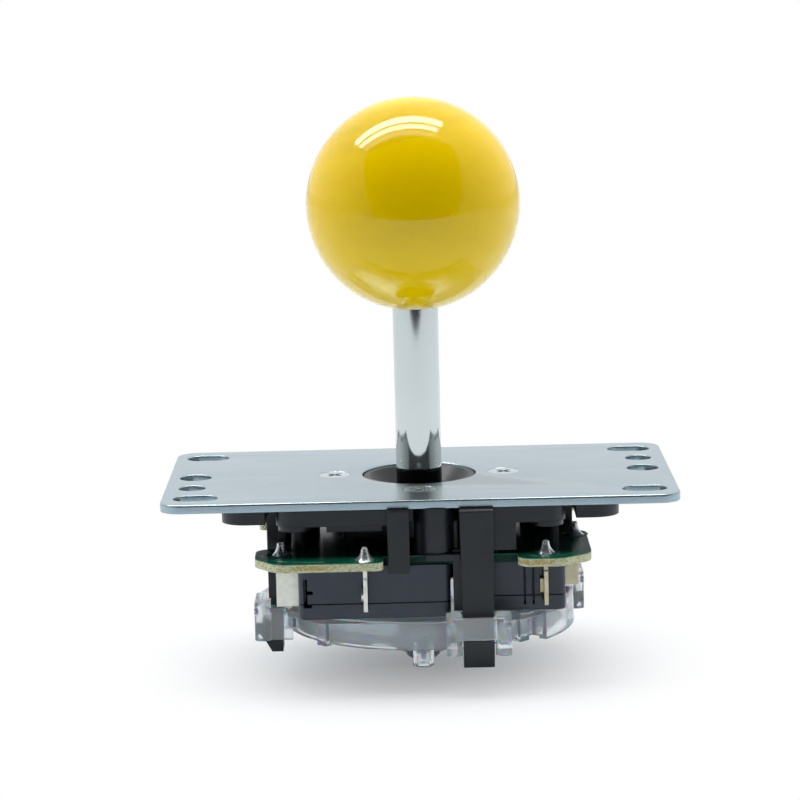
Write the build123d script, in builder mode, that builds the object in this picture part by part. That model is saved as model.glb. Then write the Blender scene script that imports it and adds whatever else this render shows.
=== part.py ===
from build123d import *
import math
import os

os.makedirs("parts", exist_ok=True)

# Eight-way ball-top lever for a control panel, in millimetres.
# The centre of the mounting plate's top face is the origin, +Z runs up the lever,
# +X runs along the plate and -Y points at the player.

# Mounting plate
plate_length = 95.0
plate_width = 53.0
plate_thickness = 1.6
plate_corner = 4.0
plate_edge_round = 0.35
plate_hole_round = 0.2
plate_bore_radius = 10.75
slot_end_margin = 6.3
slot_side_margin = 6.5
slot_length = 8.2
slot_width = 5.2
large_hole_radius = 3.0
small_hole_radius = 2.5
hole_end_margin = 5.1
small_hole_rise = 10.3

# Plate screws, countersunk with a cross recess
screw_circle_radius = 16.0
screw_head_radius = 3.0
screw_shank_radius = 1.45
screw_length = 7.6
screw_recess_width = 0.75
screw_recess_length = 3.2
screw_recess_depth = 1.0
screw_fit = 0.05

# Housing
flange_margin = 0.0
flange_thickness = 3.0
flange_corner = 3.4
ear_length = 10.1
ear_half_width = 23.4
ear_corner = 4.6
ear_slot_width = 2.0
ear_slot_start = 14.2
ear_pocket_depth = 1.8
ear_pocket_wall = 1.7
collar_gap = 0.25
collar_sink = 0.3
bowl_top_radius = 9.5
bowl_bottom_rise = 2.7
hub_radius = 7.0
skirt_half = 14.5
skirt_wall = 1.5
screw_boss_radius = 2.9
screw_boss_wall = 1.0
corner_boss_inset = 3.35
corner_boss_radius = 2.95
corner_boss_length = 1.0
peg_radius = 1.3
peg_inset = 3.7
peg_y = 17.6
post_x = 2.75
post_radius = 4.0
post_stand = 0.6
post_recess = 3.4
rail_width = 1.2
rail_drop = 0.8
rail_rise = 0.4
rib_length = 10.2
rib_clip_gap = 0.9
rib_inset = 2.0
rib_width = 0.8
rib_drop = 1.35

# Snap straps that hold the gate, and short straps that locate the board
strap_centre = 10.1
strap_width = 6.15
strap_tip_width = 5.6
strap_stand = 2.2
strap_thickness = 2.4
strap_top_chamfer = 0.7
strap_root_overlap = 0.5
strap_tip_drop = 5.8
barb_sink = 0.4
barb_top_gap = 0.25
barb_flat = 1.0
barb_tip_back = 0.35
gusset_width = 4.1
gusset_thickness = 1.5
gusset_bottom_gap = 0.8
clip_centre = -4.12
clip_width = 3.95
clip_overlap = 1.1
clip_gap = 0.15

# Pivot, a ball with a neck that takes the lever shaft
pivot_depth = 7.0
pivot_radius = 5.4
pivot_clearance = 0.15
pivot_top = 1.2
pivot_cut = 3.0
socket_mouth_drop = 3.6

# Lever shaft and ball
shaft_radius = 4.33
lower_shaft_radius = 3.2
shaft_end_length = 1.7
shaft_chamfer = 0.4
shaft_running_gap = 0.05
stud_radius = 2.95
stud_length = 14.0
groove_radius = 2.4
driver_slot_width = 1.0
driver_slot_depth = 1.2
ball_radius = 20.0
ball_centre_z = 51.15
ball_flat_radius = 5.4
insert_radius = 4.5
insert_length = 16.0
insert_gap = 0.02
stud_gap = 0.05

# Actuator, its washer and the clip below it
actuator_flange_radius = 8.6
actuator_flange_thickness = 1.0
actuator_cam_radius = 7.3
actuator_cam_rise = 1.9
actuator_tail_radius = 5.0
actuator_tail_drop = 4.6
actuator_chamfer = 0.5
washer_radius = 5.5
washer_thickness = 0.5
clip_ring_radius = 5.2
clip_ring_wall = 1.1
clip_ring_thickness = 0.8
clip_ring_opening = 4.4
clip_prong_width = 2.0

# Return spring and its upper seat
spring_wire_radius = 0.55
spring_wire_sides = 12
spring_mean_radius = 7.68
spring_turns = 4.5
spring_length = 7.8
seat_thickness = 0.5
seat_radius = 9.2
seat_gap = 0.1

# Circuit board
board_drop = 5.8
board_thickness = 1.6
board_strap_gap = 0.2
board_front_margin = 2.3
board_end_margin = 4.7
board_tongue_inner = 17.5
board_tongue_stop = 7.0
board_corner_run = 4.0
board_corner_rise = 5.6
board_corner_round = 4.0
board_inner_round = 2.6
board_opening_radius = 10.2
board_round = 1.6
board_hole_gap = 0.1

# Microswitches, four alike in a pinwheel round the lever
switch_length = 27.8
switch_depth = 15.9
switch_height = 9.9
switch_cover_height = 3.0
switch_face = 10.5
switch_nose = 5.2
switch_corner = 1.3
switch_hole_radius = 1.55
switch_hole_inset = 2.8
switch_bottom_round = 0.5
seam_height = 0.16
seam_depth = 0.25
latch_end_margin = 1.3
latch_width = 0.7
latch_depth = 2.4
latch_top_drop = 2.3
latch_bar_rise = 0.15
latch_bar_height = 0.6
latch_bar_length = 1.35
latch_notch_drop = 0.7
latch_notch_height = 1.0
latch_notch_run = 1.5
end_slot_inset = 6.0
end_slot_pitch = 1.6
end_slot_width = 0.35
end_slot_depth = 1.4
end_slot_rise = 1.2
lever_gap = 0.6
lever_thickness = 0.4
lever_height = 3.2
lever_hinge_end_margin = 3.6
lever_hinge_inset = 0.8
lever_bead_radius = 0.55
lever_bead_gap = 0.15
lever_mouth = 1.0
lever_tip_x = 4.4
plunger_x = -4.0
plunger_width = 2.4
plunger_height = 3.0
plunger_depth = 3.8
plunger_travel = 1.1
plunger_gap = 0.25
plunger_side_gap = 0.1
plunger_round = 0.6

# Switch terminals and solder
terminal_thickness = 0.75
terminal_root = 1.2
terminal_pin_width = 1.0
terminal_pin_rise = 2.4
common_inset = 3.8
common_reach = 4.1
common_drop = 1.7
common_height = 6.3
common_pin_reach = 3.1
common_bump_reach = 0.55
common_bump_width = 0.8
common_bump_height = 2.8
common_bump_stand = 0.6
common_bump_round = 0.27
open_x = -10.3
open_reach = 3.0
open_drop = 1.8
open_height = 6.1
open_pin_reach = 2.3
open_bump_radius = 1.3
solder_height = 2.1
solder_tip_radius = 0.72
solder_neck_share = 0.85
common_solder_radius = 1.6
open_solder_radius = 1.85

# Five-way pin header at the back edge of the board
header_x = 18.8
header_edge_inset = 3.0
header_width = 12.5
header_depth = 4.6
header_height = 5.2
header_wall = 0.8
header_pin_count = 5
header_pin_pitch = 2.2
header_pin_half = 0.32
header_pin_inset = 0.6
header_tail = 1.2

# Clear gate
gate_plate_thickness = 1.2
gate_plate_inset = 1.4
gate_plate_cut = 7.0
gate_opening_radius = 13.0
ring_strap_gap = 0.4
ring_wall = 1.6
ring_depth = 5.1
loop_bar_stand = 1.3
loop_bar_thickness = 1.4
loop_bar_rise = 0.6
loop_bar_height = 3.9
loop_strap_gap = 0.7
loop_side_gap = 0.25
pillar_width = 2.9
pillar_depth = 3.1
pillar_rise = 1.4
pillar_slope_run = 2.4
pillar_slope_drop = 1.5
pillar_round = 1.2
loop_rib = 1.2
hook_width = 2.4
hook_stand = 0.8
hook_lip = 2.4
hook_thickness = 0.6
wing_count = 2
wing_stand = 3.2
wing_wall = 1.6
wing_start = -38.0
wing_end = 8.0
wing_drop = 0.4
disc_gap = 0.3
disc_rise = 0.2
disc_rim = 1.5
disc_floor = 2.0
restrictor_half = 8.25
restrictor_corner = 1.0
finger_post_inset = 2.5
finger_post_radius = 1.95
finger_post_length = 4.0
finger_hole_radius = 1.1
finger_hole_depth = 2.6

# Levels and places that follow from the sizes above
slot_spacing_x = plate_length - 2 * slot_end_margin
slot_spacing_y = plate_width - 2 * slot_side_margin
hole_reach = plate_length / 2 - hole_end_margin
flange_top = -plate_thickness
flange_bottom = flange_top - flange_thickness
switch_outer = switch_face + switch_depth
flange_half = switch_outer + flange_margin
ear_reach = flange_half + ear_length
corner_boss_at = flange_half - corner_boss_inset
peg_x = flange_half - peg_inset
strap_outer = flange_half + strap_stand
strap_inner = strap_outer - strap_thickness
collar_radius = plate_bore_radius - collar_gap
pivot_z = -pivot_depth
socket_radius = pivot_radius + pivot_clearance
hub_bottom = pivot_z - socket_mouth_drop
rib_end = clip_centre - clip_width / 2 - rib_clip_gap
ball_flat_z = ball_centre_z - math.sqrt(ball_radius**2 - ball_flat_radius**2)

# Board, switches and their terminals
board_top = flange_bottom - board_drop
board_bottom = board_top - board_thickness
board_half = strap_inner - board_strap_gap
switch_bottom = board_bottom - switch_height
switch_seam = switch_bottom + switch_cover_height
switch_middle = (board_bottom + switch_bottom) / 2
switch_end = switch_length - switch_nose
lever_hinge_x = lever_hinge_end_margin - switch_end
latch_x = latch_end_margin - switch_end
latch_top = board_bottom - latch_top_drop
latch_bar_z = switch_middle + latch_bar_rise
latch_bottom = switch_seam - latch_notch_drop
end_slot_one = end_slot_inset - switch_outer
end_slot_two = end_slot_one + end_slot_pitch
end_slot_bottom = switch_bottom + end_slot_rise
common_y = common_inset - switch_outer
common_top = board_bottom - common_drop
common_bottom = common_top - common_height
common_pin_centre = -switch_end - common_pin_reach
open_top = board_bottom - open_drop
open_bottom = open_top - open_height
open_pin_centre = -switch_outer - open_pin_reach
terminal_pin_top = board_top + terminal_pin_rise
board_reach = board_front_margin - open_pin_centre
board_tongue_end = board_end_margin - common_pin_centre
header_y = board_reach - header_edge_inset

# Gate, with the snap loops and the straps' barbs
gate_plate_bottom = switch_bottom - gate_plate_thickness
gate_plate_half = switch_outer - gate_plate_inset
ring_radius = strap_inner - ring_strap_gap
ring_bottom = gate_plate_bottom - ring_depth
wing_radius = ring_radius + wing_stand
wing_bottom = ring_bottom - wing_drop
wing_sweep = wing_end - wing_start
disc_radius = ring_radius - ring_wall - disc_gap
disc_bottom = ring_bottom + disc_rise
finger_post_at = disc_radius - finger_post_inset
finger_post_bottom = disc_bottom - finger_post_length
loop_bar_top = switch_bottom + loop_bar_rise
loop_bar_bottom = loop_bar_top - loop_bar_height
loop_inner = strap_inner - loop_strap_gap
loop_reach = strap_outer + loop_bar_stand + loop_bar_thickness
barb_reach = loop_reach - barb_sink
strap_tip_z = loop_bar_bottom - strap_tip_drop

# Spring, actuator and what holds it on the shaft
shaft_bore = lower_shaft_radius + shaft_running_gap
seat_bottom = flange_bottom - seat_thickness
actuator_top = seat_bottom - spring_length
actuator_cam_bottom = switch_bottom + actuator_cam_rise
actuator_bottom = disc_bottom - actuator_tail_drop
washer_bottom = actuator_bottom - washer_thickness
clip_ring_bottom = washer_bottom - clip_ring_thickness
shaft_bottom = clip_ring_bottom - shaft_end_length
lever_inner = actuator_cam_radius + lever_gap
lever_outer = lever_inner + lever_thickness
plunger_tip = lever_outer + plunger_gap

# Directions
quarter_turn = 90
side_names = ["front", "right", "back", "left"]


def finish_part(part, name):
    """Label a finished piece and write it to its own file."""
    part.label = name
    export_step(part, f"parts/{name}.step")


def side_plane(index, z):
    """Horizontal plane at height z, turned so that its -y looks out of one side."""
    angle = math.radians(quarter_turn * index)
    return Plane(origin=(0, 0, z), x_dir=(math.cos(angle), math.sin(angle), 0), z_dir=(0, 0, 1))


# Mounting plate with its panel slots and holes
with BuildPart() as mounting_plate:
    with BuildSketch(Plane.XY.offset(flange_top)) as plate_outline:
        RectangleRounded(plate_length, plate_width, plate_corner)
        with GridLocations(slot_spacing_x, slot_spacing_y, 2, 2):
            SlotOverall(slot_length, slot_width, mode=Mode.SUBTRACT)
        with Locations((-hole_reach, 0), (hole_reach, 0)):
            Circle(large_hole_radius, mode=Mode.SUBTRACT)
        with Locations((-hole_reach, -small_hole_rise), (hole_reach, small_hole_rise)):
            Circle(small_hole_radius, mode=Mode.SUBTRACT)
        Circle(plate_bore_radius, mode=Mode.SUBTRACT)
    extrude(amount=plate_thickness)
    top_face = mounting_plate.faces().sort_by(Axis.Z)[-1]
    fillet(top_face.outer_wire().edges(), plate_edge_round)
    top_face = mounting_plate.faces().filter_by(Axis.Z).sort_by(Axis.Z)[-1]
    fillet([edge for wire in top_face.inner_wires() for edge in wire.edges()], plate_hole_round)
    with Locations((0, 0, 0)):
        with PolarLocations(screw_circle_radius, len(side_names)):
            CounterSinkHole(screw_shank_radius + 2 * screw_fit, screw_head_radius + 2 * screw_fit,
                            counter_sink_angle=quarter_turn)
finish_part(mounting_plate.part, "mounting_plate")

# Four countersunk screws
screw_cone = screw_head_radius - screw_shank_radius
with BuildPart() as plate_screws:
    with PolarLocations(screw_circle_radius, len(side_names)):
        with Locations((0, 0, -screw_cone / 2 - screw_fit)):
            Cone(screw_shank_radius, screw_head_radius, screw_cone)
        with Locations((0, 0, -screw_cone - screw_fit)):
            Cylinder(screw_shank_radius, screw_length - screw_cone,
                     align=(Align.CENTER, Align.CENTER, Align.MAX))
        with Locations((0, 0, -screw_fit)):
            for turn in (0, quarter_turn):
                Box(screw_recess_length, screw_recess_width, 2 * screw_recess_depth,
                    rotation=(0, 0, turn + quarter_turn / 2), mode=Mode.SUBTRACT)
finish_part(plate_screws.part, "plate_screws")

# Housing: flange, ears, bearing bowl, skirt, bosses, snap straps and board clips
strap_y = -(strap_outer + strap_inner) / 2
with BuildPart() as housing:
    with BuildSketch(Plane.XY.offset(flange_bottom)) as flange_outline:
        RectangleRounded(2 * flange_half, 2 * flange_half, flange_corner)
        RectangleRounded(2 * ear_reach, 2 * ear_half_width, ear_corner)
        slot_run = flange_half - ear_slot_start
        slot_x = flange_half + ear_slot_width / 2
        with GridLocations(2 * slot_x, 2 * ear_slot_start + slot_run, 2, 2):
            Rectangle(ear_slot_width, slot_run, mode=Mode.SUBTRACT)
    extrude(amount=flange_thickness)
    # Recesses in the flange for the round posts
    recess_start = clip_centre + clip_width / 2
    recess_end = strap_centre - strap_width / 2
    with BuildSketch(Plane.XY.offset(flange_bottom)) as post_recesses:
        with PolarLocations(0, len(side_names)):
            with Locations(((recess_start + recess_end) / 2, -flange_half)):
                Rectangle(recess_end - recess_start, post_recess, align=(Align.CENTER, Align.MIN))
    extrude(amount=flange_thickness, mode=Mode.SUBTRACT)
    # Core pockets under the ears
    pocket_width = ear_reach - flange_half - ear_slot_width - 2 * ear_pocket_wall
    pocket_x = flange_half + ear_slot_width + ear_pocket_wall + pocket_width / 2
    pocket_length = ear_half_width - ear_slot_start - 2 * ear_pocket_wall
    with BuildSketch(Plane.XY.offset(flange_bottom)) as ear_pockets:
        with GridLocations(2 * pocket_x, ear_half_width + ear_slot_start, 2, 2):
            RectangleRounded(pocket_width, pocket_length, ear_pocket_wall / 2)
    extrude(amount=ear_pocket_depth, mode=Mode.SUBTRACT)
    # Skirt that stands on the board
    with BuildSketch(Plane.XY.offset(board_top)) as skirt_outline:
        RectangleRounded(2 * skirt_half, 2 * skirt_half, 2 * skirt_wall)
        RectangleRounded(2 * (skirt_half - skirt_wall), 2 * (skirt_half - skirt_wall), skirt_wall,
                         mode=Mode.SUBTRACT)
    extrude(amount=board_drop)
    # Collar in the plate's bore and hub that carries the pivot
    with BuildSketch(Plane.XZ) as hub_section:
        with BuildLine() as hub_line:
            bowl_bottom_z = pivot_z + bowl_bottom_rise
            Polyline((0, -collar_sink), (collar_radius, -collar_sink), (collar_radius, flange_top),
                     (collar_radius, flange_bottom), (hub_radius, flange_bottom),
                     (hub_radius, hub_bottom), (0, hub_bottom), close=True)
        make_face()
    revolve(axis=Axis.Z)
    with BuildSketch(Plane.XZ) as bowl_section:
        with BuildLine() as bowl_line:
            mouth_radius = math.sqrt(socket_radius**2 - socket_mouth_drop**2)
            mouth_angle = -math.degrees(math.atan2(socket_mouth_drop, mouth_radius))
            Polyline((0, 0), (bowl_top_radius, 0), (bowl_top_radius, -collar_sink),
                     (socket_radius, bowl_bottom_z), (socket_radius, pivot_z))
            CenterArc((0, pivot_z), socket_radius, 0, mouth_angle)
            Polyline((mouth_radius, hub_bottom), (0, hub_bottom), (0, 0))
        make_face()
    revolve(axis=Axis.Z, mode=Mode.SUBTRACT)
    # Screw bosses, corner bosses and the round posts that stand on the board
    screw_boss_bottom = -screw_length - screw_boss_wall
    with BuildSketch(Plane.XY.offset(screw_boss_bottom)) as screw_bosses:
        with PolarLocations(screw_circle_radius, len(side_names)):
            Circle(screw_boss_radius)
    extrude(amount=flange_bottom - screw_boss_bottom)
    with BuildSketch(Plane.XY.offset(flange_bottom - corner_boss_length)) as corner_bosses:
        with GridLocations(2 * corner_boss_at, 2 * corner_boss_at, 2, 2):
            Circle(corner_boss_radius)
    extrude(amount=corner_boss_length)
    with BuildSketch(Plane.XY.offset(board_top)) as pegs:
        with Locations((-peg_x, -peg_y), (peg_x, peg_y)):
            Circle(peg_radius)
    extrude(amount=board_drop)
    with BuildSketch(Plane.XY.offset(board_top)) as posts:
        with PolarLocations(0, len(side_names)):
            with Locations((post_x, post_radius - post_stand - flange_half)):
                Circle(post_radius)
    extrude(amount=flange_top - board_top)
    with BuildSketch(Plane.XY.offset(flange_bottom - rib_drop)) as ribs:
        with PolarLocations(0, len(side_names)):
            with Locations((rib_end, rib_inset - flange_half)):
                Rectangle(rib_length, rib_width, align=(Align.MAX, Align.CENTER))
    extrude(amount=rib_drop)
    # Snap straps, narrower towards the tip and chamfered under the plate, with their gussets
    with BuildSketch(Plane.XY.offset(loop_bar_top)) as strap_low:
        with Locations((strap_centre, strap_y)):
            Rectangle(strap_tip_width, strap_thickness)
    with BuildSketch(Plane.XY.offset(flange_top)) as strap_high:
        with Locations((strap_centre, strap_y)):
            Rectangle(strap_width, strap_thickness)
    strap = loft(sections=[strap_low.sketch, strap_high.sketch], mode=Mode.PRIVATE)
    with BuildSketch(Plane.YZ.offset(strap_centre)) as strap_chamfer:
        with BuildLine() as chamfer_line:
            Polyline((-strap_outer, flange_top - strap_top_chamfer), (-strap_outer, flange_top),
                     (strap_top_chamfer - strap_outer, flange_top), close=True)
        make_face()
    chamfer_cut = extrude(amount=strap_width, both=True, mode=Mode.PRIVATE)
    with PolarLocations(0, len(side_names)):
        add(strap)
        add(chamfer_cut, mode=Mode.SUBTRACT)
    with BuildSketch(Plane.XY.offset(board_top + gusset_bottom_gap)) as gussets:
        with PolarLocations(0, len(side_names)):
            gusset_x = strap_centre + (strap_width + gusset_width) / 2
            with Locations((gusset_x, gusset_thickness / 2 - flange_half)):
                Rectangle(gusset_width, gusset_thickness)
            with Locations((strap_centre, gusset_thickness / 2 - flange_half)):
                Rectangle(strap_width, gusset_thickness)
    extrude(amount=board_drop - gusset_bottom_gap)
    barb_top = loop_bar_bottom - barb_top_gap
    with BuildSketch(Plane.YZ.offset(strap_centre)) as barb_section:
        with BuildLine() as barb_line:
            barb_root = loop_bar_top + strap_root_overlap
            Polyline((-strap_inner, barb_root), (-strap_outer, barb_root),
                     (-strap_outer, barb_top), (-barb_reach, barb_top),
                     (-barb_reach, barb_top - barb_flat),
                     (barb_tip_back - strap_outer, strap_tip_z), (-strap_inner, strap_tip_z),
                     close=True)
        make_face()
    barb = extrude(amount=strap_tip_width / 2, both=True, mode=Mode.PRIVATE)
    with PolarLocations(0, len(side_names)):
        add(barb)
    # Short straps in front of the board's recessed edges, with a rail beside each post
    with BuildSketch(Plane.XY.offset(board_bottom)) as clips:
        with PolarLocations(0, len(side_names)):
            with Locations((clip_centre, strap_y)):
                Rectangle(clip_width, strap_thickness)
    extrude(amount=flange_top - board_bottom)
    clip_tip = strap_outer - switch_outer - clip_gap
    with BuildSketch(Plane.XY.offset(board_bottom - clip_overlap)) as clip_tips:
        with PolarLocations(0, len(side_names)):
            with Locations((clip_centre, clip_tip / 2 - strap_outer)):
                Rectangle(clip_width, clip_tip)
    extrude(amount=clip_overlap)
    with BuildSketch(Plane.XY.offset(board_top - rail_drop)) as rails:
        with PolarLocations(0, len(side_names)):
            rail_start = post_x - post_radius / 2
            rail_end = strap_centre - strap_width / 2
            with Locations(((rail_start + rail_end) / 2, -strap_inner - rail_width / 2)):
                Rectangle(rail_end - rail_start, rail_width)
    extrude(amount=rail_drop + rail_rise)
    # Pilot holes for the plate screws
    with BuildSketch(Plane.XY.offset(screw_boss_bottom + screw_boss_wall - screw_fit)) as pilots:
        with PolarLocations(screw_circle_radius, len(side_names)):
            Circle(screw_shank_radius + screw_fit)
    extrude(amount=screw_length, mode=Mode.SUBTRACT)
finish_part(housing.part, "housing")

# Pivot: a ball with a neck as wide as the lever shaft
with BuildPart() as pivot:
    with BuildSketch(Plane.XZ) as pivot_section:
        with BuildLine() as pivot_line:
            neck_z = pivot_z + math.sqrt(pivot_radius**2 - shaft_radius**2)
            cut_radius = math.sqrt(pivot_radius**2 - pivot_cut**2)
            Polyline((cut_radius, pivot_z - pivot_cut), (shaft_bore, pivot_z - pivot_cut),
                     (shaft_bore, pivot_top), (shaft_radius, pivot_top), (shaft_radius, neck_z))
            ThreePointArc((shaft_radius, neck_z), (pivot_radius, pivot_z),
                          (cut_radius, pivot_z - pivot_cut))
        make_face()
    revolve(axis=Axis.Z)
finish_part(pivot.part, "pivot")

# Lever shaft with its threaded stud, shoulder, clip groove and driver slot
with BuildPart() as shaft:
    with BuildSketch(Plane.XZ) as shaft_section:
        with BuildLine() as shaft_line:
            Polyline((0, shaft_bottom), (lower_shaft_radius - shaft_chamfer, shaft_bottom),
                     (lower_shaft_radius, shaft_bottom + shaft_chamfer),
                     (lower_shaft_radius, clip_ring_bottom), (groove_radius, clip_ring_bottom),
                     (groove_radius, washer_bottom), (lower_shaft_radius, washer_bottom),
                     (lower_shaft_radius, pivot_top), (shaft_radius, pivot_top),
                     (shaft_radius, ball_flat_z), (stud_radius, ball_flat_z),
                     (stud_radius, ball_flat_z + stud_length), (0, ball_flat_z + stud_length),
                     close=True)
        make_face()
    revolve(axis=Axis.Z)
    with Locations((0, 0, shaft_bottom)):
        Box(2 * shaft_radius, driver_slot_width, 2 * driver_slot_depth, mode=Mode.SUBTRACT)
finish_part(shaft.part, "shaft")

# Ball with a flat where the shaft enters, and its threaded insert
with BuildPart() as ball_top:
    with BuildSketch(Plane.XZ) as ball_section:
        with BuildLine() as ball_line:
            ThreePointArc((ball_flat_radius, ball_flat_z), (ball_radius, ball_centre_z),
                          (0, ball_centre_z + ball_radius))
            pocket_radius = insert_radius + insert_gap
            pocket_top = ball_flat_z + insert_length + insert_gap
            Polyline((0, ball_centre_z + ball_radius), (0, pocket_top), (pocket_radius, pocket_top),
                     (pocket_radius, ball_flat_z), (ball_flat_radius, ball_flat_z))
        make_face()
    revolve(axis=Axis.Z)
finish_part(ball_top.part, "ball_top")

with BuildPart() as ball_insert:
    with BuildSketch(Plane.XY.offset(ball_flat_z)) as insert_outline:
        Circle(insert_radius)
    extrude(amount=insert_length)
    with BuildSketch(Plane.XY.offset(ball_flat_z)) as insert_bore:
        Circle(stud_radius + stud_gap)
    extrude(amount=stud_length + stud_gap, mode=Mode.SUBTRACT)
finish_part(ball_insert.part, "ball_insert")

# Upper spring seat and the return spring
with BuildPart() as spring_seat:
    with BuildSketch(Plane.XY.offset(seat_bottom)) as seat_outline:
        Circle(seat_radius)
        Circle(hub_radius + seat_gap, mode=Mode.SUBTRACT)
    extrude(amount=seat_thickness)
finish_part(spring_seat.part, "spring_seat")

coil_height = spring_length - 2 * spring_wire_radius
coil_start = actuator_top + spring_wire_radius
with BuildPart() as return_spring:
    with BuildLine() as spring_path:
        coil = Helix(coil_height / spring_turns, coil_height, spring_mean_radius,
                     center=(0, 0, coil_start))
    with BuildSketch(Plane(origin=coil @ 0, z_dir=coil % 0)) as spring_wire:
        RegularPolygon(spring_wire_radius, spring_wire_sides)
    sweep(path=spring_path.wires()[0], is_frenet=True)
finish_part(return_spring.part, "return_spring")

# Actuator: flange under the spring, cam between the switches, tail in the gate
with BuildPart() as actuator:
    with BuildSketch(Plane.XZ) as actuator_section:
        with BuildLine() as actuator_line:
            cam_top = actuator_top - actuator_flange_thickness
            Polyline((shaft_bore, actuator_top), (actuator_flange_radius, actuator_top),
                     (actuator_flange_radius, cam_top), (actuator_cam_radius, cam_top),
                     (actuator_cam_radius, actuator_cam_bottom + actuator_chamfer),
                     (actuator_cam_radius - actuator_chamfer, actuator_cam_bottom),
                     (actuator_tail_radius, actuator_cam_bottom),
                     (actuator_tail_radius, actuator_bottom + actuator_chamfer),
                     (actuator_tail_radius - actuator_chamfer, actuator_bottom),
                     (shaft_bore, actuator_bottom), close=True)
        make_face()
    revolve(axis=Axis.Z)
finish_part(actuator.part, "actuator")

with BuildPart() as actuator_washer:
    with BuildSketch(Plane.XY.offset(washer_bottom)) as washer_outline:
        Circle(washer_radius)
        Circle(shaft_bore, mode=Mode.SUBTRACT)
    extrude(amount=washer_thickness)
finish_part(actuator_washer.part, "actuator_washer")

# Retaining clip, an open ring with three prongs in the shaft's groove
with BuildPart() as e_clip:
    with BuildSketch(Plane.XY.offset(clip_ring_bottom)) as clip_outline:
        Circle(clip_ring_radius)
        Circle(clip_ring_radius - clip_ring_wall, mode=Mode.SUBTRACT)
        prong_reach = clip_ring_radius - clip_ring_wall / 2
        with Locations((prong_reach / 2, 0), (-prong_reach / 2, 0)):
            Rectangle(prong_reach, clip_prong_width)
        with Locations((0, prong_reach / 2)):
            Rectangle(clip_prong_width, prong_reach)
        Circle(groove_radius + shaft_running_gap, mode=Mode.SUBTRACT)
        with Locations((0, -clip_ring_radius)):
            Rectangle(clip_ring_opening, clip_ring_radius, mode=Mode.SUBTRACT)
    extrude(amount=clip_ring_thickness)
finish_part(e_clip.part, "e_clip")

# Circuit board, a pinwheel of four tongues with an opening for the spring
with BuildPart() as circuit_board:
    with BuildSketch(Plane.XY.offset(board_bottom)) as board_outline:
        Rectangle(2 * board_half, 2 * board_half)
        with BuildSketch(mode=Mode.PRIVATE) as tongue:
            with BuildLine() as tongue_line:
                Polyline((-board_tongue_stop, -board_tongue_inner),
                         (-board_tongue_end, -board_tongue_inner),
                         (-board_tongue_end, board_corner_rise - board_reach),
                         (board_corner_run - board_tongue_end, -board_reach),
                         (-board_tongue_stop, -board_reach), close=True)
            make_face()
            fillet(tongue.vertices().group_by(Axis.Y)[0].sort_by(Axis.X)[-1], board_round)
            fillet(tongue.vertices().group_by(Axis.X)[0].sort_by(Axis.Y)[-1], board_inner_round)
            fillet(tongue.vertices().group_by(Axis.X)[0].sort_by(Axis.Y)[0], board_corner_round)
            fillet(tongue.vertices().group_by(Axis.Y)[0].sort_by(Axis.X)[0], board_corner_round)
        with PolarLocations(0, len(side_names)):
            add(tongue.sketch)
        Circle(board_opening_radius, mode=Mode.SUBTRACT)
        hole_long = terminal_pin_width + 2 * board_hole_gap
        hole_short = terminal_thickness + 2 * board_hole_gap
        with PolarLocations(0, len(side_names)):
            with Locations((common_pin_centre, common_y)):
                Rectangle(hole_long, hole_short, mode=Mode.SUBTRACT)
            with Locations((open_x, open_pin_centre)):
                Rectangle(hole_short, hole_long, mode=Mode.SUBTRACT)
        pin_row_y = header_y - header_pin_inset
        with Locations((header_x, pin_row_y)):
            with GridLocations(header_pin_pitch, 0, header_pin_count, 1):
                Circle(math.hypot(header_pin_half, header_pin_half) + board_hole_gap / 2,
                       mode=Mode.SUBTRACT)
    extrude(amount=board_thickness)
finish_part(circuit_board.part, "circuit_board")

# Solder fillets round the terminal pins
with BuildPart() as solder_joints:
    joints = ((common_pin_centre, common_y, common_solder_radius),
              (open_x, open_pin_centre, open_solder_radius))
    for joint_x, joint_y, joint_radius in joints:
        joint_plane = Plane(origin=(joint_x, joint_y, board_top), x_dir=(1, 0, 0), z_dir=(0, -1, 0))
        with BuildSketch(joint_plane) as cone_half:
            with BuildLine() as cone_line:
                Polyline((0, solder_height), (0, 0), (joint_radius, 0))
                neck_radius = solder_tip_radius * solder_neck_share
                Spline((joint_radius, 0), (solder_tip_radius, solder_height / 2),
                       (neck_radius, solder_height))
                Line((neck_radius, solder_height), (0, solder_height))
            make_face()
        cone = revolve(axis=Axis((joint_x, joint_y, 0), (0, 0, 1)), mode=Mode.PRIVATE)
        with PolarLocations(0, len(side_names)):
            add(cone)
    with BuildSketch(Plane.XY.offset(board_top)) as pin_holes:
        with PolarLocations(0, len(side_names)):
            with Locations((common_pin_centre, common_y)):
                Rectangle(terminal_pin_width, terminal_thickness)
            with Locations((open_x, open_pin_centre)):
                Rectangle(terminal_thickness, terminal_pin_width)
    extrude(amount=solder_height, mode=Mode.SUBTRACT)
finish_part(solder_joints.part, "solder_joints")

# Pin header, open towards the back, and its pins
with BuildPart() as pin_header:
    with BuildSketch(Plane.XY.offset(board_top)) as header_outline:
        with Locations((header_x, header_y)):
            Rectangle(header_width, header_depth, align=(Align.CENTER, Align.MIN))
    extrude(amount=header_height)
    with BuildSketch(Plane.XZ.offset(-header_y - header_depth)) as header_cavity:
        with Locations((header_x, board_top + header_height / 2)):
            Rectangle(header_width - 2 * header_wall, header_height - 2 * header_wall)
    extrude(amount=header_depth - header_wall, mode=Mode.SUBTRACT)
    pin_z = board_top + header_height / 2
    with BuildSketch(Plane.XZ.offset(-header_y - header_depth)) as header_pin_holes:
        with Locations((header_x, pin_z)):
            with GridLocations(header_pin_pitch, 0, header_pin_count, 1):
                Rectangle(2 * header_pin_half, 2 * header_pin_half)
    extrude(amount=header_depth, mode=Mode.SUBTRACT)
finish_part(pin_header.part, "pin_header")

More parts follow.
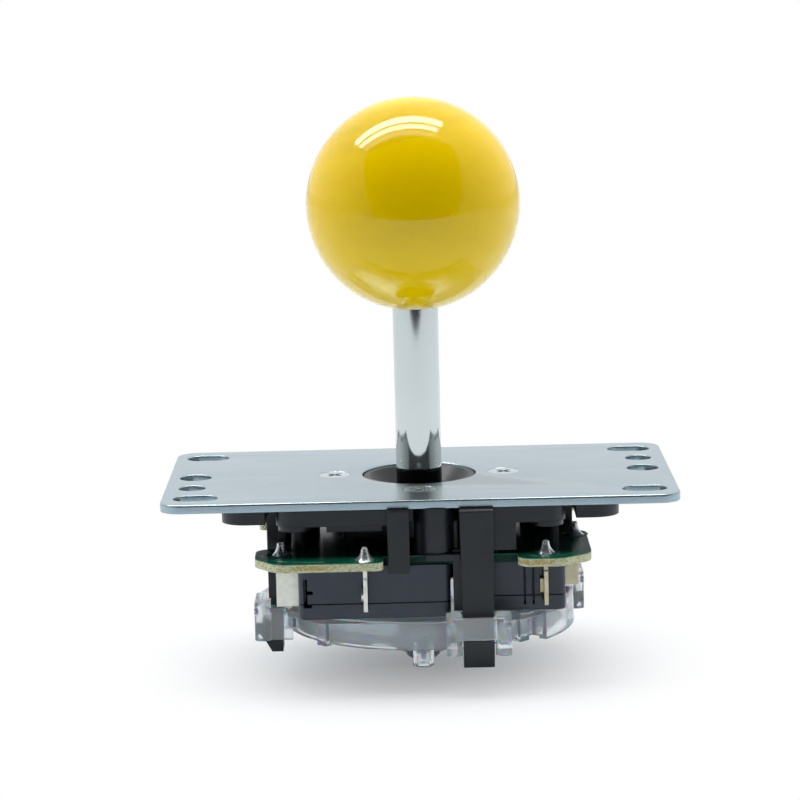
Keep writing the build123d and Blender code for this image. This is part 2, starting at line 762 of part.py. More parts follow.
with BuildPart() as header_pins:
    pin_y = header_y - header_pin_inset
    with BuildSketch(Plane.YZ.offset(header_x)) as pin_profile:
        with BuildLine() as pin_line:
            pin_high = pin_z + header_pin_half
            pin_low = pin_z - header_pin_half
            pin_tail = board_bottom - header_tail
            Polyline((header_y + header_depth - header_wall, pin_high),
                     (pin_y - header_pin_half, pin_high), (pin_y - header_pin_half, pin_tail),
                     (pin_y + header_pin_half, pin_tail), (pin_y + header_pin_half, pin_low),
                     (header_y + header_depth - header_wall, pin_low), close=True)
        make_face()
    pin = extrude(amount=header_pin_half, both=True, mode=Mode.PRIVATE)
    with GridLocations(header_pin_pitch, 0, header_pin_count, 1):
        add(pin)
finish_part(header_pins.part, "header_pins")

# Microswitches: case, cover, plunger, lever and terminals for each side
hinge_y = -(switch_face + lever_hinge_inset)
case_centre_x = switch_length / 2 - switch_end
case_centre_y = -(switch_face + switch_outer) / 2
hole_one = (switch_hole_inset - switch_end, switch_hole_inset - switch_outer)
hole_two = (switch_nose - switch_hole_inset, -switch_face - switch_hole_inset)
for side, side_name in enumerate(side_names):
    case_height = switch_height - switch_cover_height
    with BuildPart() as switch_case:
        with BuildSketch(side_plane(side, switch_seam)) as case_outline:
            with Locations((case_centre_x, case_centre_y)):
                RectangleRounded(switch_length, switch_depth, switch_corner)
            with Locations(hole_one, hole_two):
                Circle(switch_hole_radius, mode=Mode.SUBTRACT)
        extrude(amount=case_height)
        lever_low = switch_middle - lever_height / 2
        with BuildSketch(side_plane(side, lever_low - lever_bead_gap)) as hinge_socket:
            with Locations((lever_hinge_x, hinge_y)):
                Circle(lever_bead_radius + lever_bead_gap)
                Rectangle(lever_mouth, 2 * lever_hinge_inset, align=(Align.CENTER, Align.MIN))
        extrude(amount=lever_height + 2 * lever_bead_gap, mode=Mode.SUBTRACT)
        well_depth = plunger_depth + plunger_tip + plunger_travel - switch_face + plunger_gap
        well_height = plunger_height + 2 * plunger_side_gap
        with BuildSketch(side_plane(side, switch_middle - well_height / 2)) as plunger_well:
            with Locations((plunger_x, -switch_face)):
                Rectangle(plunger_width + 2 * plunger_side_gap, well_depth,
                          align=(Align.CENTER, Align.MAX))
        extrude(amount=well_height, mode=Mode.SUBTRACT)
        with BuildSketch(side_plane(side, switch_seam)) as case_latch:
            with Locations((latch_x, -switch_outer)):
                Rectangle(latch_width, 2 * latch_depth)
        extrude(amount=latch_top - switch_seam, mode=Mode.SUBTRACT)
        with BuildSketch(side_plane(side, latch_bar_z - latch_bar_height / 2)) as case_latch_bar:
            with Locations((latch_x, -switch_outer)):
                Rectangle(latch_bar_length, 2 * latch_depth, align=(Align.MIN, Align.CENTER))
        extrude(amount=latch_bar_height, mode=Mode.SUBTRACT)
        with BuildSketch(side_plane(side, switch_seam)) as case_end_slots:
            with Locations((-switch_end, end_slot_one), (-switch_end, end_slot_two)):
                Rectangle(2 * end_slot_depth, end_slot_width)
        extrude(amount=case_height, mode=Mode.SUBTRACT)
        root_gap = 2 * board_hole_gap
        with BuildSketch(side_plane(side, common_bottom - board_hole_gap)) as common_root:
            with Locations((-switch_end, common_y)):
                Rectangle(2 * terminal_root, terminal_thickness + root_gap)
        extrude(amount=common_top - common_bottom + root_gap, mode=Mode.SUBTRACT)
        with BuildSketch(side_plane(side, open_bottom - board_hole_gap)) as open_root:
            with Locations((open_x, -switch_outer)):
                Rectangle(terminal_thickness + root_gap, 2 * terminal_root)
        extrude(amount=open_top - open_bottom + root_gap, mode=Mode.SUBTRACT)
    finish_part(switch_case.part, f"switch_case_{side_name}")

    with BuildPart() as switch_cover:
        with BuildSketch(side_plane(side, switch_bottom)) as cover_outline:
            with Locations((case_centre_x, case_centre_y)):
                RectangleRounded(switch_length, switch_depth, switch_corner)
            with Locations(hole_one, hole_two):
                Circle(switch_hole_radius, mode=Mode.SUBTRACT)
        extrude(amount=switch_cover_height)
        bottom_face = switch_cover.faces().sort_by(Axis.Z)[0]
        fillet(bottom_face.outer_wire().edges(), switch_bottom_round)
        with BuildSketch(side_plane(side, switch_seam - seam_height)) as cover_seam:
            with Locations((case_centre_x, case_centre_y)):
                Rectangle(2 * switch_length, 2 * switch_length)
                RectangleRounded(switch_length - 2 * seam_depth, switch_depth - 2 * seam_depth,
                                 switch_corner - seam_depth, mode=Mode.SUBTRACT)
        extrude(amount=seam_height, mode=Mode.SUBTRACT)
        with BuildSketch(side_plane(side, latch_bottom)) as cover_latch:
            with Locations((latch_x - latch_width / 2, -switch_outer)):
                Rectangle(latch_notch_run, 2 * latch_depth, align=(Align.MIN, Align.CENTER))
        extrude(amount=latch_notch_height, mode=Mode.SUBTRACT)
        with BuildSketch(side_plane(side, end_slot_bottom)) as cover_end_slots:
            with Locations((-switch_end, end_slot_one), (-switch_end, end_slot_two)):
                Rectangle(2 * end_slot_depth, end_slot_width)
        extrude(amount=switch_seam - end_slot_bottom, mode=Mode.SUBTRACT)
        with BuildSketch(side_plane(side, common_bottom - board_hole_gap)) as cover_common:
            with Locations((-switch_end, common_y)):
                Rectangle(2 * terminal_root, terminal_thickness + root_gap)
        extrude(amount=common_top - common_bottom, mode=Mode.SUBTRACT)
        with BuildSketch(side_plane(side, open_bottom - board_hole_gap)) as cover_open:
            with Locations((open_x, -switch_outer)):
                Rectangle(terminal_thickness + root_gap, 2 * terminal_root)
        extrude(amount=open_top - open_bottom, mode=Mode.SUBTRACT)
    finish_part(switch_cover.part, f"switch_cover_{side_name}")

    with BuildPart() as switch_plunger:
        with BuildSketch(side_plane(side, switch_middle - plunger_height / 2)) as plunger_outline:
            with Locations((plunger_x, -plunger_tip)):
                Rectangle(plunger_width, plunger_depth, align=(Align.CENTER, Align.MAX))
            fillet(plunger_outline.vertices(), plunger_round)
        extrude(amount=plunger_height)
    finish_part(switch_plunger.part, f"switch_plunger_{side_name}")

    with BuildPart() as switch_lever:
        with BuildSketch(side_plane(side, lever_low)) as lever_outline:
            strip_start = lever_hinge_x - lever_thickness / 2
            with Locations((strip_start, -lever_inner)):
                Rectangle(lever_tip_x - strip_start, lever_thickness, align=(Align.MIN, Align.MAX))
            with Locations((lever_hinge_x, -lever_inner)):
                Rectangle(lever_thickness, -hinge_y - lever_inner, align=(Align.CENTER, Align.MAX))
            with Locations((lever_hinge_x, hinge_y)):
                Circle(lever_bead_radius)
        extrude(amount=lever_height)
    finish_part(switch_lever.part, f"switch_lever_{side_name}")

    turned = side_plane(side, 0)
    common_plane = Plane(origin=turned.from_local_coords((0, common_y, 0)), x_dir=turned.x_dir,
                         z_dir=-turned.y_dir)
    open_plane = Plane(origin=turned.from_local_coords((open_x, 0, 0)), x_dir=turned.y_dir,
                       z_dir=turned.x_dir)
    with BuildPart() as switch_terminals:
        with BuildSketch(common_plane) as common_blade:
            with Locations((-switch_end - common_reach, common_bottom)):
                Rectangle(common_reach + terminal_root, common_top - common_bottom,
                          align=(Align.MIN, Align.MIN))
            with Locations((common_pin_centre, common_top)):
                Rectangle(terminal_pin_width, terminal_pin_top - common_top,
                          align=(Align.CENTER, Align.MIN))
        extrude(amount=terminal_thickness / 2, both=True)
        with BuildSketch(common_plane) as common_bump:
            with Locations((-switch_end - common_bump_reach, switch_middle)):
                RectangleRounded(common_bump_width, common_bump_height, common_bump_round)
        extrude(amount=-terminal_thickness / 2 - common_bump_stand)
        with BuildSketch(open_plane) as open_blade:
            with Locations((-switch_outer - open_reach, open_bottom)):
                Rectangle(open_reach + terminal_root, open_top - open_bottom,
                          align=(Align.MIN, Align.MIN))
            with Locations((open_pin_centre, open_top)):
                Rectangle(terminal_pin_width, terminal_pin_top - open_top,
                          align=(Align.CENTER, Align.MIN))
        extrude(amount=terminal_thickness / 2, both=True)
        with BuildSketch(open_plane) as open_bump:
            with Locations((-switch_outer - open_reach / 2, switch_middle)):
                Circle(open_bump_radius)
        extrude(amount=-terminal_thickness)
    finish_part(switch_terminals.part, f"switch_terminals_{side_name}")

# Clear gate base: plate under the switches, ring, snap loops and disc hooks
with BuildPart() as gate_base:
    with BuildSketch(Plane.XY.offset(gate_plate_bottom)) as gate_outline:
        Rectangle(2 * gate_plate_half, 2 * gate_plate_half)
        chamfer(gate_outline.vertices(), gate_plate_cut)
        loop_width = strap_tip_width + 2 * loop_side_gap + 2 * pillar_width
        with PolarLocations(0, len(side_names)):
            with Locations((strap_centre, -loop_reach)):
                Rectangle(loop_width, loop_reach - gate_plate_half + pillar_round,
                          align=(Align.CENTER, Align.MIN))
        with PolarLocations(0, len(side_names)):
            with Locations((strap_centre, loop_bar_thickness - loop_reach)):
                Rectangle(strap_width + 2 * loop_side_gap, loop_reach - loop_bar_thickness - loop_inner,
                          align=(Align.CENTER, Align.MIN), mode=Mode.SUBTRACT)
        Circle(gate_opening_radius, mode=Mode.SUBTRACT)
    extrude(amount=gate_plate_thickness)
    with BuildSketch(Plane.XY.offset(wing_bottom)) as wing_outline:
        with BuildLine() as wing_line:
            wing_inner = wing_radius - wing_wall
            outer_arc = CenterArc((0, 0), wing_radius, wing_start, wing_sweep)
            inner_arc = CenterArc((0, 0), wing_inner, wing_start, wing_sweep)
            Line(outer_arc @ 0, inner_arc @ 0)
            Line(outer_arc @ 1, inner_arc @ 1)
        make_face()
    wing = extrude(amount=switch_bottom - wing_bottom, mode=Mode.PRIVATE)
    with BuildSketch(Plane.XY.offset(gate_plate_bottom)) as wing_floor:
        with BuildLine() as floor_line:
            floor_inner = gate_opening_radius + wing_wall
            outer_floor = CenterArc((0, 0), wing_radius - wing_wall / 2, wing_start, wing_sweep)
            inner_floor = CenterArc((0, 0), floor_inner, wing_start, wing_sweep)
            Line(outer_floor @ 0, inner_floor @ 0)
            Line(outer_floor @ 1, inner_floor @ 1)
        make_face()
    wing_plate = extrude(amount=gate_plate_thickness, mode=Mode.PRIVATE)
    with BuildSketch(Plane.XY.offset(ring_bottom)) as wing_end_wall:
        with Locations(Location((0, 0, 0), (0, 0, wing_start))):
            with Locations((ring_radius - ring_wall, 0)):
                Rectangle(wing_radius - ring_radius + ring_wall, wing_wall, align=(Align.MIN, Align.MIN))
    wing_closure = extrude(amount=gate_plate_bottom - ring_bottom, mode=Mode.PRIVATE)
    with PolarLocations(0, wing_count):
        add(wing)
        add(wing_plate)
        add(wing_closure)
    with BuildSketch(Plane.XY.offset(ring_bottom)) as ring_outline:
        Circle(ring_radius)
        Circle(ring_radius - ring_wall, mode=Mode.SUBTRACT)
    extrude(amount=gate_plate_bottom - ring_bottom)
    with BuildSketch(Plane.XY.offset(ring_bottom)) as pillars:
        with PolarLocations(0, len(side_names)):
            pillar_step = strap_tip_width + 2 * loop_side_gap + pillar_width
            with Locations((strap_centre, pillar_depth / 2 - loop_reach)):
                with GridLocations(pillar_step, 0, 2, 1):
                    RectangleRounded(pillar_width, pillar_depth, pillar_round)
    extrude(amount=switch_bottom + pillar_rise - ring_bottom)
    with BuildSketch(Plane.YZ.offset(strap_centre)) as pillar_slope:
        with BuildLine() as slope_line:
            slope_top = switch_bottom + pillar_rise
            Polyline((-loop_reach, slope_top - pillar_slope_drop), (-loop_reach, slope_top),
                     (pillar_slope_run - loop_reach, slope_top), close=True)
        make_face()
    slope_cut = extrude(amount=pillar_step, both=True, mode=Mode.PRIVATE)
    with PolarLocations(0, len(side_names)):
        add(slope_cut, mode=Mode.SUBTRACT)
    with BuildSketch(Plane.XY.offset(ring_bottom)) as loop_ribs:
        with PolarLocations(0, len(side_names)):
            rib_run = loop_reach - pillar_depth / 2 - ring_radius + ring_wall
            with Locations((strap_centre, pillar_depth / 2 - loop_reach)):
                with GridLocations(pillar_step, 0, 2, 1):
                    Rectangle(loop_rib, rib_run, align=(Align.CENTER, Align.MIN))
    extrude(amount=gate_plate_bottom - ring_bottom)
    with BuildSketch(Plane.XY.offset(loop_bar_bottom)) as loop_bars:
        with PolarLocations(0, len(side_names)):
            with Locations((strap_centre, loop_bar_thickness / 2 - loop_reach)):
                Rectangle(pillar_step, loop_bar_thickness)
    extrude(amount=loop_bar_top - loop_bar_bottom)
    with BuildSketch(Plane.XY.offset(disc_bottom - hook_thickness)) as hook_ribs:
        with PolarLocations(ring_radius, len(side_names), start_angle=quarter_turn / 2):
            Rectangle(2 * hook_stand, hook_width)
    extrude(amount=gate_plate_bottom - disc_bottom + hook_thickness)
    with BuildSketch(Plane.XY.offset(disc_bottom - hook_thickness)) as hook_lips:
        with PolarLocations(ring_radius, len(side_names), start_angle=quarter_turn / 2):
            Rectangle(hook_lip + ring_wall, hook_width, align=(Align.MAX, Align.CENTER))
    extrude(amount=hook_thickness)
    with BuildSketch(Plane.XY.offset(disc_bottom)) as disc_room:
        Circle(ring_radius - ring_wall)
    extrude(amount=gate_plate_bottom - disc_bottom, mode=Mode.SUBTRACT)
finish_part(gate_base.part, "gate_base")

# Clear restrictor disc with the square opening and two finger posts
with BuildPart() as restrictor_disc:
    with BuildSketch(Plane.XY.offset(disc_bottom)) as disc_outline:
        Circle(disc_radius)
    extrude(amount=gate_plate_bottom - disc_bottom)
    with BuildSketch(Plane.XY.offset(disc_bottom + disc_floor)) as disc_pocket:
        Circle(disc_radius - disc_rim)
    extrude(amount=gate_plate_bottom - disc_bottom, mode=Mode.SUBTRACT)
    with BuildSketch(Plane.XY.offset(finger_post_bottom)) as finger_posts:
        with Locations((0, -finger_post_at), (0, finger_post_at)):
            Circle(finger_post_radius)
    extrude(amount=disc_bottom + disc_floor - finger_post_bottom)
    with BuildSketch(Plane.XY.offset(finger_post_bottom)) as finger_holes:
        with Locations((0, -finger_post_at), (0, finger_post_at)):
            Circle(finger_hole_radius)
    extrude(amount=finger_hole_depth, mode=Mode.SUBTRACT)
    with BuildSketch(Plane.XY.offset(disc_bottom)) as restrictor_opening:
        RectangleRounded(2 * restrictor_half, 2 * restrictor_half, restrictor_corner)
    extrude(amount=disc_floor, mode=Mode.SUBTRACT)
finish_part(restrictor_disc.part, "restrictor_disc")
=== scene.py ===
"""Looks for an eight-way ball-top lever: finishes, smooth turned pieces, solder, tracks, studio."""

import logging
import math
import random
from dataclasses import dataclass, field
from enum import Enum
from typing import Any, Iterable, Mapping, Sequence

import bmesh
import bpy
from mathutils import Matrix, Vector


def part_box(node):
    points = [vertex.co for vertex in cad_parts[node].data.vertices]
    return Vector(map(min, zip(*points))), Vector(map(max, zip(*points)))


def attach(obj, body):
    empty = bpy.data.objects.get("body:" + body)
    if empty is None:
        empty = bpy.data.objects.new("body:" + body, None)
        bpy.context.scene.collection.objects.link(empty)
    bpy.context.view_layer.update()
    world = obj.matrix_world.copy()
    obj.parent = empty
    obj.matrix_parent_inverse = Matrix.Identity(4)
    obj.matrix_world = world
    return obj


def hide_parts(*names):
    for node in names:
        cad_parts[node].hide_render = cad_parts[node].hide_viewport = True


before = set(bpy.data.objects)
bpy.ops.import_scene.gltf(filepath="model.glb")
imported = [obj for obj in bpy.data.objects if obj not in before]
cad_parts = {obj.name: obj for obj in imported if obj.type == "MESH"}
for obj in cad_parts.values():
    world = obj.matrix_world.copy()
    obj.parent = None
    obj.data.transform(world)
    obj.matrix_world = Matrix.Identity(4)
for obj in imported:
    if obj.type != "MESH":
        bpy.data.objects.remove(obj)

LOG = logging.getLogger("lever")
MM = 0.001
SIDES = ("front", "right", "back", "left")

Point2 = tuple[float, float]
Point3 = tuple[float, float, float]
Tree = bpy.types.NodeTree
Socket = bpy.types.NodeSocket
Piece = bpy.types.Object

# The sRGB curve: a straight foot up to the knee, then a power
SRGB_KNEE, SRGB_FOOT, SRGB_OFFSET, SRGB_POWER = 0.04045, 12.92, 0.055, 2.4

# Places of the inputs and outputs that share one name on their node
FACTOR, COLOUR_A, COLOUR_B, COLOUR_OUT = 0, 6, 7, 2
SHADER_A, SHADER_B = 1, 2
VALUE_A, VALUE_B, VALUE_C = 0, 1, 2


def linear_colour(hex_code: str) -> tuple[float, float, float, float]:
    """Turn an sRGB hex colour into linear light.

    Args:
        hex_code: Six hex digits, with or without a leading #.

    Returns:
        Red, green, blue and alpha for a shader socket.
    """
    digits = hex_code.lstrip("#")
    channels = [int(digits[i:i + 2], 16) / 255 for i in (0, 2, 4)]
    linear = [c / SRGB_FOOT if c <= SRGB_KNEE
              else ((c + SRGB_OFFSET) / (1 + SRGB_OFFSET)) ** SRGB_POWER for c in channels]
    return (linear[0], linear[1], linear[2], 1.0)


def add_node(
    tree: Tree,
    kind: str,
    values: Mapping[str | int, Any] | None = None,
    links: Mapping[str | int, Socket] | None = None,
    **settings: Any,
) -> bpy.types.Node:
    """Add a shader node with its settings, socket values and links.

    Args:
        tree: The node tree that takes the node.
        kind: The node's type name.
        values: Socket name or index to the value set on it.
        links: Socket name or index to the output that feeds it.
        **settings: Properties set on the node itself.

    Returns:
        The new node.
    """
    node = tree.nodes.new(kind)
    for name, value in settings.items():
        setattr(node, name, value)
    for key, value in (values or {}).items():
        node.inputs[key].default_value = value
    for key, socket in (links or {}).items():
        tree.links.new(socket, node.inputs[key])
    return node


def new_material(name: str) -> tuple[bpy.types.Material, Tree, bpy.types.Node]:
    """Make an empty node material.

    Args:
        name: The material's name.

    Returns:
        The material, its node tree and its output node.
    """
    material = bpy.data.materials.new(name)
    material.use_nodes = True
    tree = material.node_tree
    tree.nodes.clear()
    output = add_node(tree, "ShaderNodeOutputMaterial")
    return material, tree, output


def millimetre_space(tree: Tree, stretch: Point3 = (1, 1, 1)) -> Socket:
    """Give the piece's own coordinates in millimetres.

    Args:
        tree: The node tree that takes the nodes.
        stretch: How much each axis is squeezed, for grain that runs one way.

    Returns:
        A vector output.
    """
    source = add_node(tree, "ShaderNodeTexCoord")
    scale = [axis / MM for axis in stretch]
    mapping = add_node(tree, "ShaderNodeMapping", {"Scale": scale}, {"Vector": source.outputs["Object"]})
    return mapping.outputs["Vector"]


@dataclass(frozen=True)
class Finish:
    """A surface with a colour, a speckle of tone, a roughness that varies, and a fine grain.

    Every length is in millimetres and is the size of one grain or patch on the real surface.
    """

    name: str
    hex_code: str
    shade_hex: str
    metallic: float = 0.0
    roughness: float = 0.5
    roughness_swing: float = 0.06
    tone_size: float = 4.0
    grain_size: float = 0.3
    grain_depth: float = 0.004
    grain_stretch: Point3 = (1, 1, 1)
    ior: float = 1.5
    transmission: float = 0.0
    subsurface: float = 0.0
    edge_round: float = 0.0
    tone_detail: float = 5.0
    grain_detail: float = 2.0
    edge_samples: int = 6

    def build(self) -> bpy.types.Material:
        """Build the node material.

        Returns:
            The finished material.
        """
        material, tree, output = new_material(self.name)
        space = millimetre_space(tree)
        tone = add_node(tree, "ShaderNodeTexNoise",
                        {"Scale": 1 / self.tone_size, "Detail": self.tone_detail}, {"Vector": space})
        colour = add_node(tree, "ShaderNodeMix",
                          {COLOUR_A: linear_colour(self.hex_code), COLOUR_B: linear_colour(self.shade_hex)},
                          {FACTOR: tone.outputs["Fac"]}, data_type="RGBA")
        rough = add_node(tree, "ShaderNodeMapRange",
                         {"To Min": self.roughness - self.roughness_swing,
                          "To Max": self.roughness + self.roughness_swing},
                         {"Value": tone.outputs["Fac"]})
        grain_space = millimetre_space(tree, self.grain_stretch)
        grain = add_node(tree, "ShaderNodeTexNoise",
                         {"Scale": 1 / self.grain_size, "Detail": self.grain_detail},
                         {"Vector": grain_space})
        bump = add_node(tree, "ShaderNodeBump", {"Strength": 1.0, "Distance": self.grain_depth * MM},
                        {"Height": grain.outputs["Fac"]})
        if self.edge_round:
            edge = add_node(tree, "ShaderNodeBevel", {"Radius": self.edge_round * MM},
                            samples=self.edge_samples)
            tree.links.new(edge.outputs["Normal"], bump.inputs["Normal"])
        shader = add_node(tree, "ShaderNodeBsdfPrincipled",
                          {"Metallic": self.metallic, "IOR": self.ior,
                           "Transmission Weight": self.transmission,
                           "Subsurface Weight": self.subsurface, "Subsurface Scale": MM},
                          {"Base Color": colour.outputs[COLOUR_OUT], "Roughness": rough.outputs["Result"],
                           "Normal": bump.outputs["Normal"]})
        surface = shader.outputs["BSDF"]
        if self.transmission:
            surface = self.let_light_through(tree, surface)
        tree.links.new(surface, output.inputs["Surface"])
        return material

    def let_light_through(self, tree: Tree, clear: Socket) -> Socket:
        """Let a clear piece cast a pale shadow, as thin clear plastic does.

        Args:
            tree: The node tree that takes the nodes.
            clear: The clear shader.

        Returns:
            The shader that also answers shadow rays.
        """
        path = add_node(tree, "ShaderNodeLightPath")
        pale = add_node(tree, "ShaderNodeBsdfTransparent", {"Color": linear_colour(self.shade_hex)})
        mix = add_node(tree, "ShaderNodeMixShader",
                       links={FACTOR: path.outputs["Is Shadow Ray"], SHADER_A: clear,
                              SHADER_B: pale.outputs[0]})
        return mix.outputs[0]


# How much of the noise becomes torn fibres, and how much whole grains of the board's core
TORN_FIBRES = {"From Min": 0.47, "From Max": 0.62, "To Max": 0.85}
WHOLE_GRAINS = {"From Min": 0.36, "From Max": 0.5, "To Max": 0.9}


@dataclass(frozen=True)
class BoardLaminate:
    """Fibre board: green solder mask on its faces, and a pale snapped edge that shows the tan core.

    Lengths are in millimetres. The core shows on all four sides between core_start and core_end
    from the middle of a side, and beyond outer_edge an edge isn't in a recess. Within outer_edge the
    edge lies in the housing's recess and is painted dark, a painted shade of the housing over it.
    """

    name: str = "green_masked_laminate"
    mask_hex: str = "#105340"
    mask_shade_hex: str = "#0B4535"
    rim_hex: str = "#1B7A57"
    # Painted shade: the dark colour given to board edges inside the housing's recess
    recess_shade_hex: str = "#0A3628"
    edge_hex: str = "#DDE0BE"
    core_hex: str = "#B9A055"
    patch_size: float = 5.0
    patch_detail: float = 3.0
    fibre_size: float = 0.8
    fibre_detail: float = 6.0
    fibre_roughness: float = 0.7
    fibre_squeeze: Point3 = (1, 1, 2.5)
    grain_size: float = 0.3
    grain_detail: float = 3.0
    edge_roughness: float = 0.8
    face_roughness: float = 0.16
    face_relief: float = 0.04
    relief_depth: float = 0.25
    ior: float = 1.52
    edge_mask: float = 0.5
    rim_height: float = 0.16
    core_height: float = 0.8
    core_start: float = 17.0
    core_end: float = 24.0
    outer_edge: float = 26.8

    def build(self) -> bpy.types.Material:
        """Build the node material.

        Returns:
            The finished material.
        """
        material, tree, output = new_material(self.name)
        space = millimetre_space(tree)
        source = add_node(tree, "ShaderNodeTexCoord")
        normal = add_node(tree, "ShaderNodeSeparateXYZ", links={"Vector": source.outputs["Normal"]})
        upright = add_node(tree, "ShaderNodeMath", links={VALUE_A: normal.outputs["Z"]},
                           operation="ABSOLUTE")
        is_face = add_node(tree, "ShaderNodeMath", {VALUE_B: self.edge_mask},
                           {VALUE_A: upright.outputs[0]}, operation="GREATER_THAN")
        patch = add_node(tree, "ShaderNodeTexNoise",
                         {"Scale": 1 / self.patch_size, "Detail": self.patch_detail}, {"Vector": space})
        mask = add_node(tree, "ShaderNodeMix",
                        {COLOUR_A: linear_colour(self.mask_hex),
                         COLOUR_B: linear_colour(self.mask_shade_hex)},
                        {FACTOR: patch.outputs["Fac"]}, data_type="RGBA")
        fibres = add_node(tree, "ShaderNodeTexNoise",
                          {"Scale": 1 / self.fibre_size, "Detail": self.fibre_detail,
                           "Roughness": self.fibre_roughness},
                          {"Vector": millimetre_space(tree, self.fibre_squeeze)})
        torn = add_node(tree, "ShaderNodeMapRange", TORN_FIBRES, {"Value": fibres.outputs["Fac"]})
        height, run, reach = self.edge_places(tree, space)
        edge = add_node(tree, "ShaderNodeMix",
                        {COLOUR_A: linear_colour(self.edge_hex), COLOUR_B: linear_colour(self.core_hex)},
                        {FACTOR: self.core_share(tree, space, torn.outputs["Result"], height, run)},
                        data_type="RGBA")
        # Edges inside outer_edge lie under the housing and take a dark painted shade in place of their pale
        # edge colour
        in_recess = add_node(tree, "ShaderNodeMath", {VALUE_B: self.outer_edge}, {VALUE_A: reach},
                             operation="LESS_THAN")
        recess = add_node(tree, "ShaderNodeMix", {COLOUR_B: linear_colour(self.recess_shade_hex)},
                          {FACTOR: in_recess.outputs[0], COLOUR_A: edge.outputs[COLOUR_OUT]},
                          data_type="RGBA")
        rim_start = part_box("circuit_board")[1].z / MM - self.rim_height
        in_mask = add_node(tree, "ShaderNodeMath", {VALUE_B: rim_start}, {VALUE_A: height},
                           operation="GREATER_THAN")
        rim = add_node(tree, "ShaderNodeMix", {COLOUR_B: linear_colour(self.rim_hex)},
                       {FACTOR: in_mask.outputs[0], COLOUR_A: recess.outputs[COLOUR_OUT]},
                       data_type="RGBA")
        colour = add_node(tree, "ShaderNodeMix",
                          links={FACTOR: is_face.outputs[0], COLOUR_A: rim.outputs[COLOUR_OUT],
                                 COLOUR_B: mask.outputs[COLOUR_OUT]}, data_type="RGBA")
        rough = add_node(tree, "ShaderNodeMapRange",
                         {"To Min": self.edge_roughness, "To Max": self.face_roughness},
                         {"Value": is_face.outputs[0]})
        relief = add_node(tree, "ShaderNodeMapRange", {"To Min": 1.0, "To Max": self.face_relief},
                          {"Value": is_face.outputs[0]})
        rise = add_node(tree, "ShaderNodeMath",
                        links={VALUE_A: fibres.outputs["Fac"], VALUE_B: relief.outputs["Result"]},
                        operation="MULTIPLY")
        bump = add_node(tree, "ShaderNodeBump", {"Strength": 1.0, "Distance": self.relief_depth * MM},
                        {"Height": rise.outputs[0]})
        shader = add_node(tree, "ShaderNodeBsdfPrincipled", {"IOR": self.ior},
                          {"Base Color": colour.outputs[COLOUR_OUT], "Roughness": rough.outputs["Result"],
                           "Normal": bump.outputs["Normal"]})
        tree.links.new(shader.outputs["BSDF"], output.inputs["Surface"])
        return material

    def edge_places(self, tree: Tree, space: Socket) -> tuple[Socket, Socket, Socket]:
        """Tell where on the rim a point is; all four sides answer alike.

        Args:
            tree: The node tree that takes the nodes.
            space: Coordinates in millimetres.

        Returns:
            Its height, its run from the middle of its side, and its side's reach from the centre.
        """
        place = add_node(tree, "ShaderNodeSeparateXYZ", links={"Vector": space})
        across, along = (add_node(tree, "ShaderNodeMath", links={VALUE_A: place.outputs[axis]},
                                  operation="ABSOLUTE").outputs[0] for axis in "XY")
        run, reach = (add_node(tree, "ShaderNodeMath", links={VALUE_A: across, VALUE_B: along},
                               operation=choice).outputs[0] for choice in ("MINIMUM", "MAXIMUM"))
        return place.outputs["Z"], run, reach

    def core_share(self, tree: Tree, space: Socket, torn: Socket, height: Socket, run: Socket) -> Socket:
        """Work out where an edge shows the tan core: in torn fibres, and in one clean snapped strip.

        Args:
            tree: The node tree that takes the nodes.
            space: Coordinates in millimetres.
            torn: How torn the fibres are.
            height: The point's height.
            run: The point's run from the middle of its side.

        Returns:
            The share of core colour.
        """
        low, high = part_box("circuit_board")
        middle = (low.z + high.z) / 2 / MM
        strip = add_node(tree, "ShaderNodeMath", {VALUE_B: (self.core_start + self.core_end) / 2,
                                                  VALUE_C: (self.core_end - self.core_start) / 2},
                         {VALUE_A: run}, operation="COMPARE")
        band = add_node(tree, "ShaderNodeMath", {VALUE_B: middle, VALUE_C: self.core_height / 2},
                        {VALUE_A: height}, operation="COMPARE")
        grain = add_node(tree, "ShaderNodeTexNoise",
                         {"Scale": 1 / self.grain_size, "Detail": self.grain_detail}, {"Vector": space})
        whole = add_node(tree, "ShaderNodeMapRange", WHOLE_GRAINS, {"Value": grain.outputs["Fac"]})
        clean = whole.outputs["Result"]
        for share in (strip, band):
            clean = add_node(tree, "ShaderNodeMath", links={VALUE_A: share.outputs[0], VALUE_B: clean},
                             operation="MULTIPLY").outputs[0]
        core = add_node(tree, "ShaderNodeMath", links={VALUE_A: clean, VALUE_B: torn}, operation="MAXIMUM")
        return core.outputs[0]


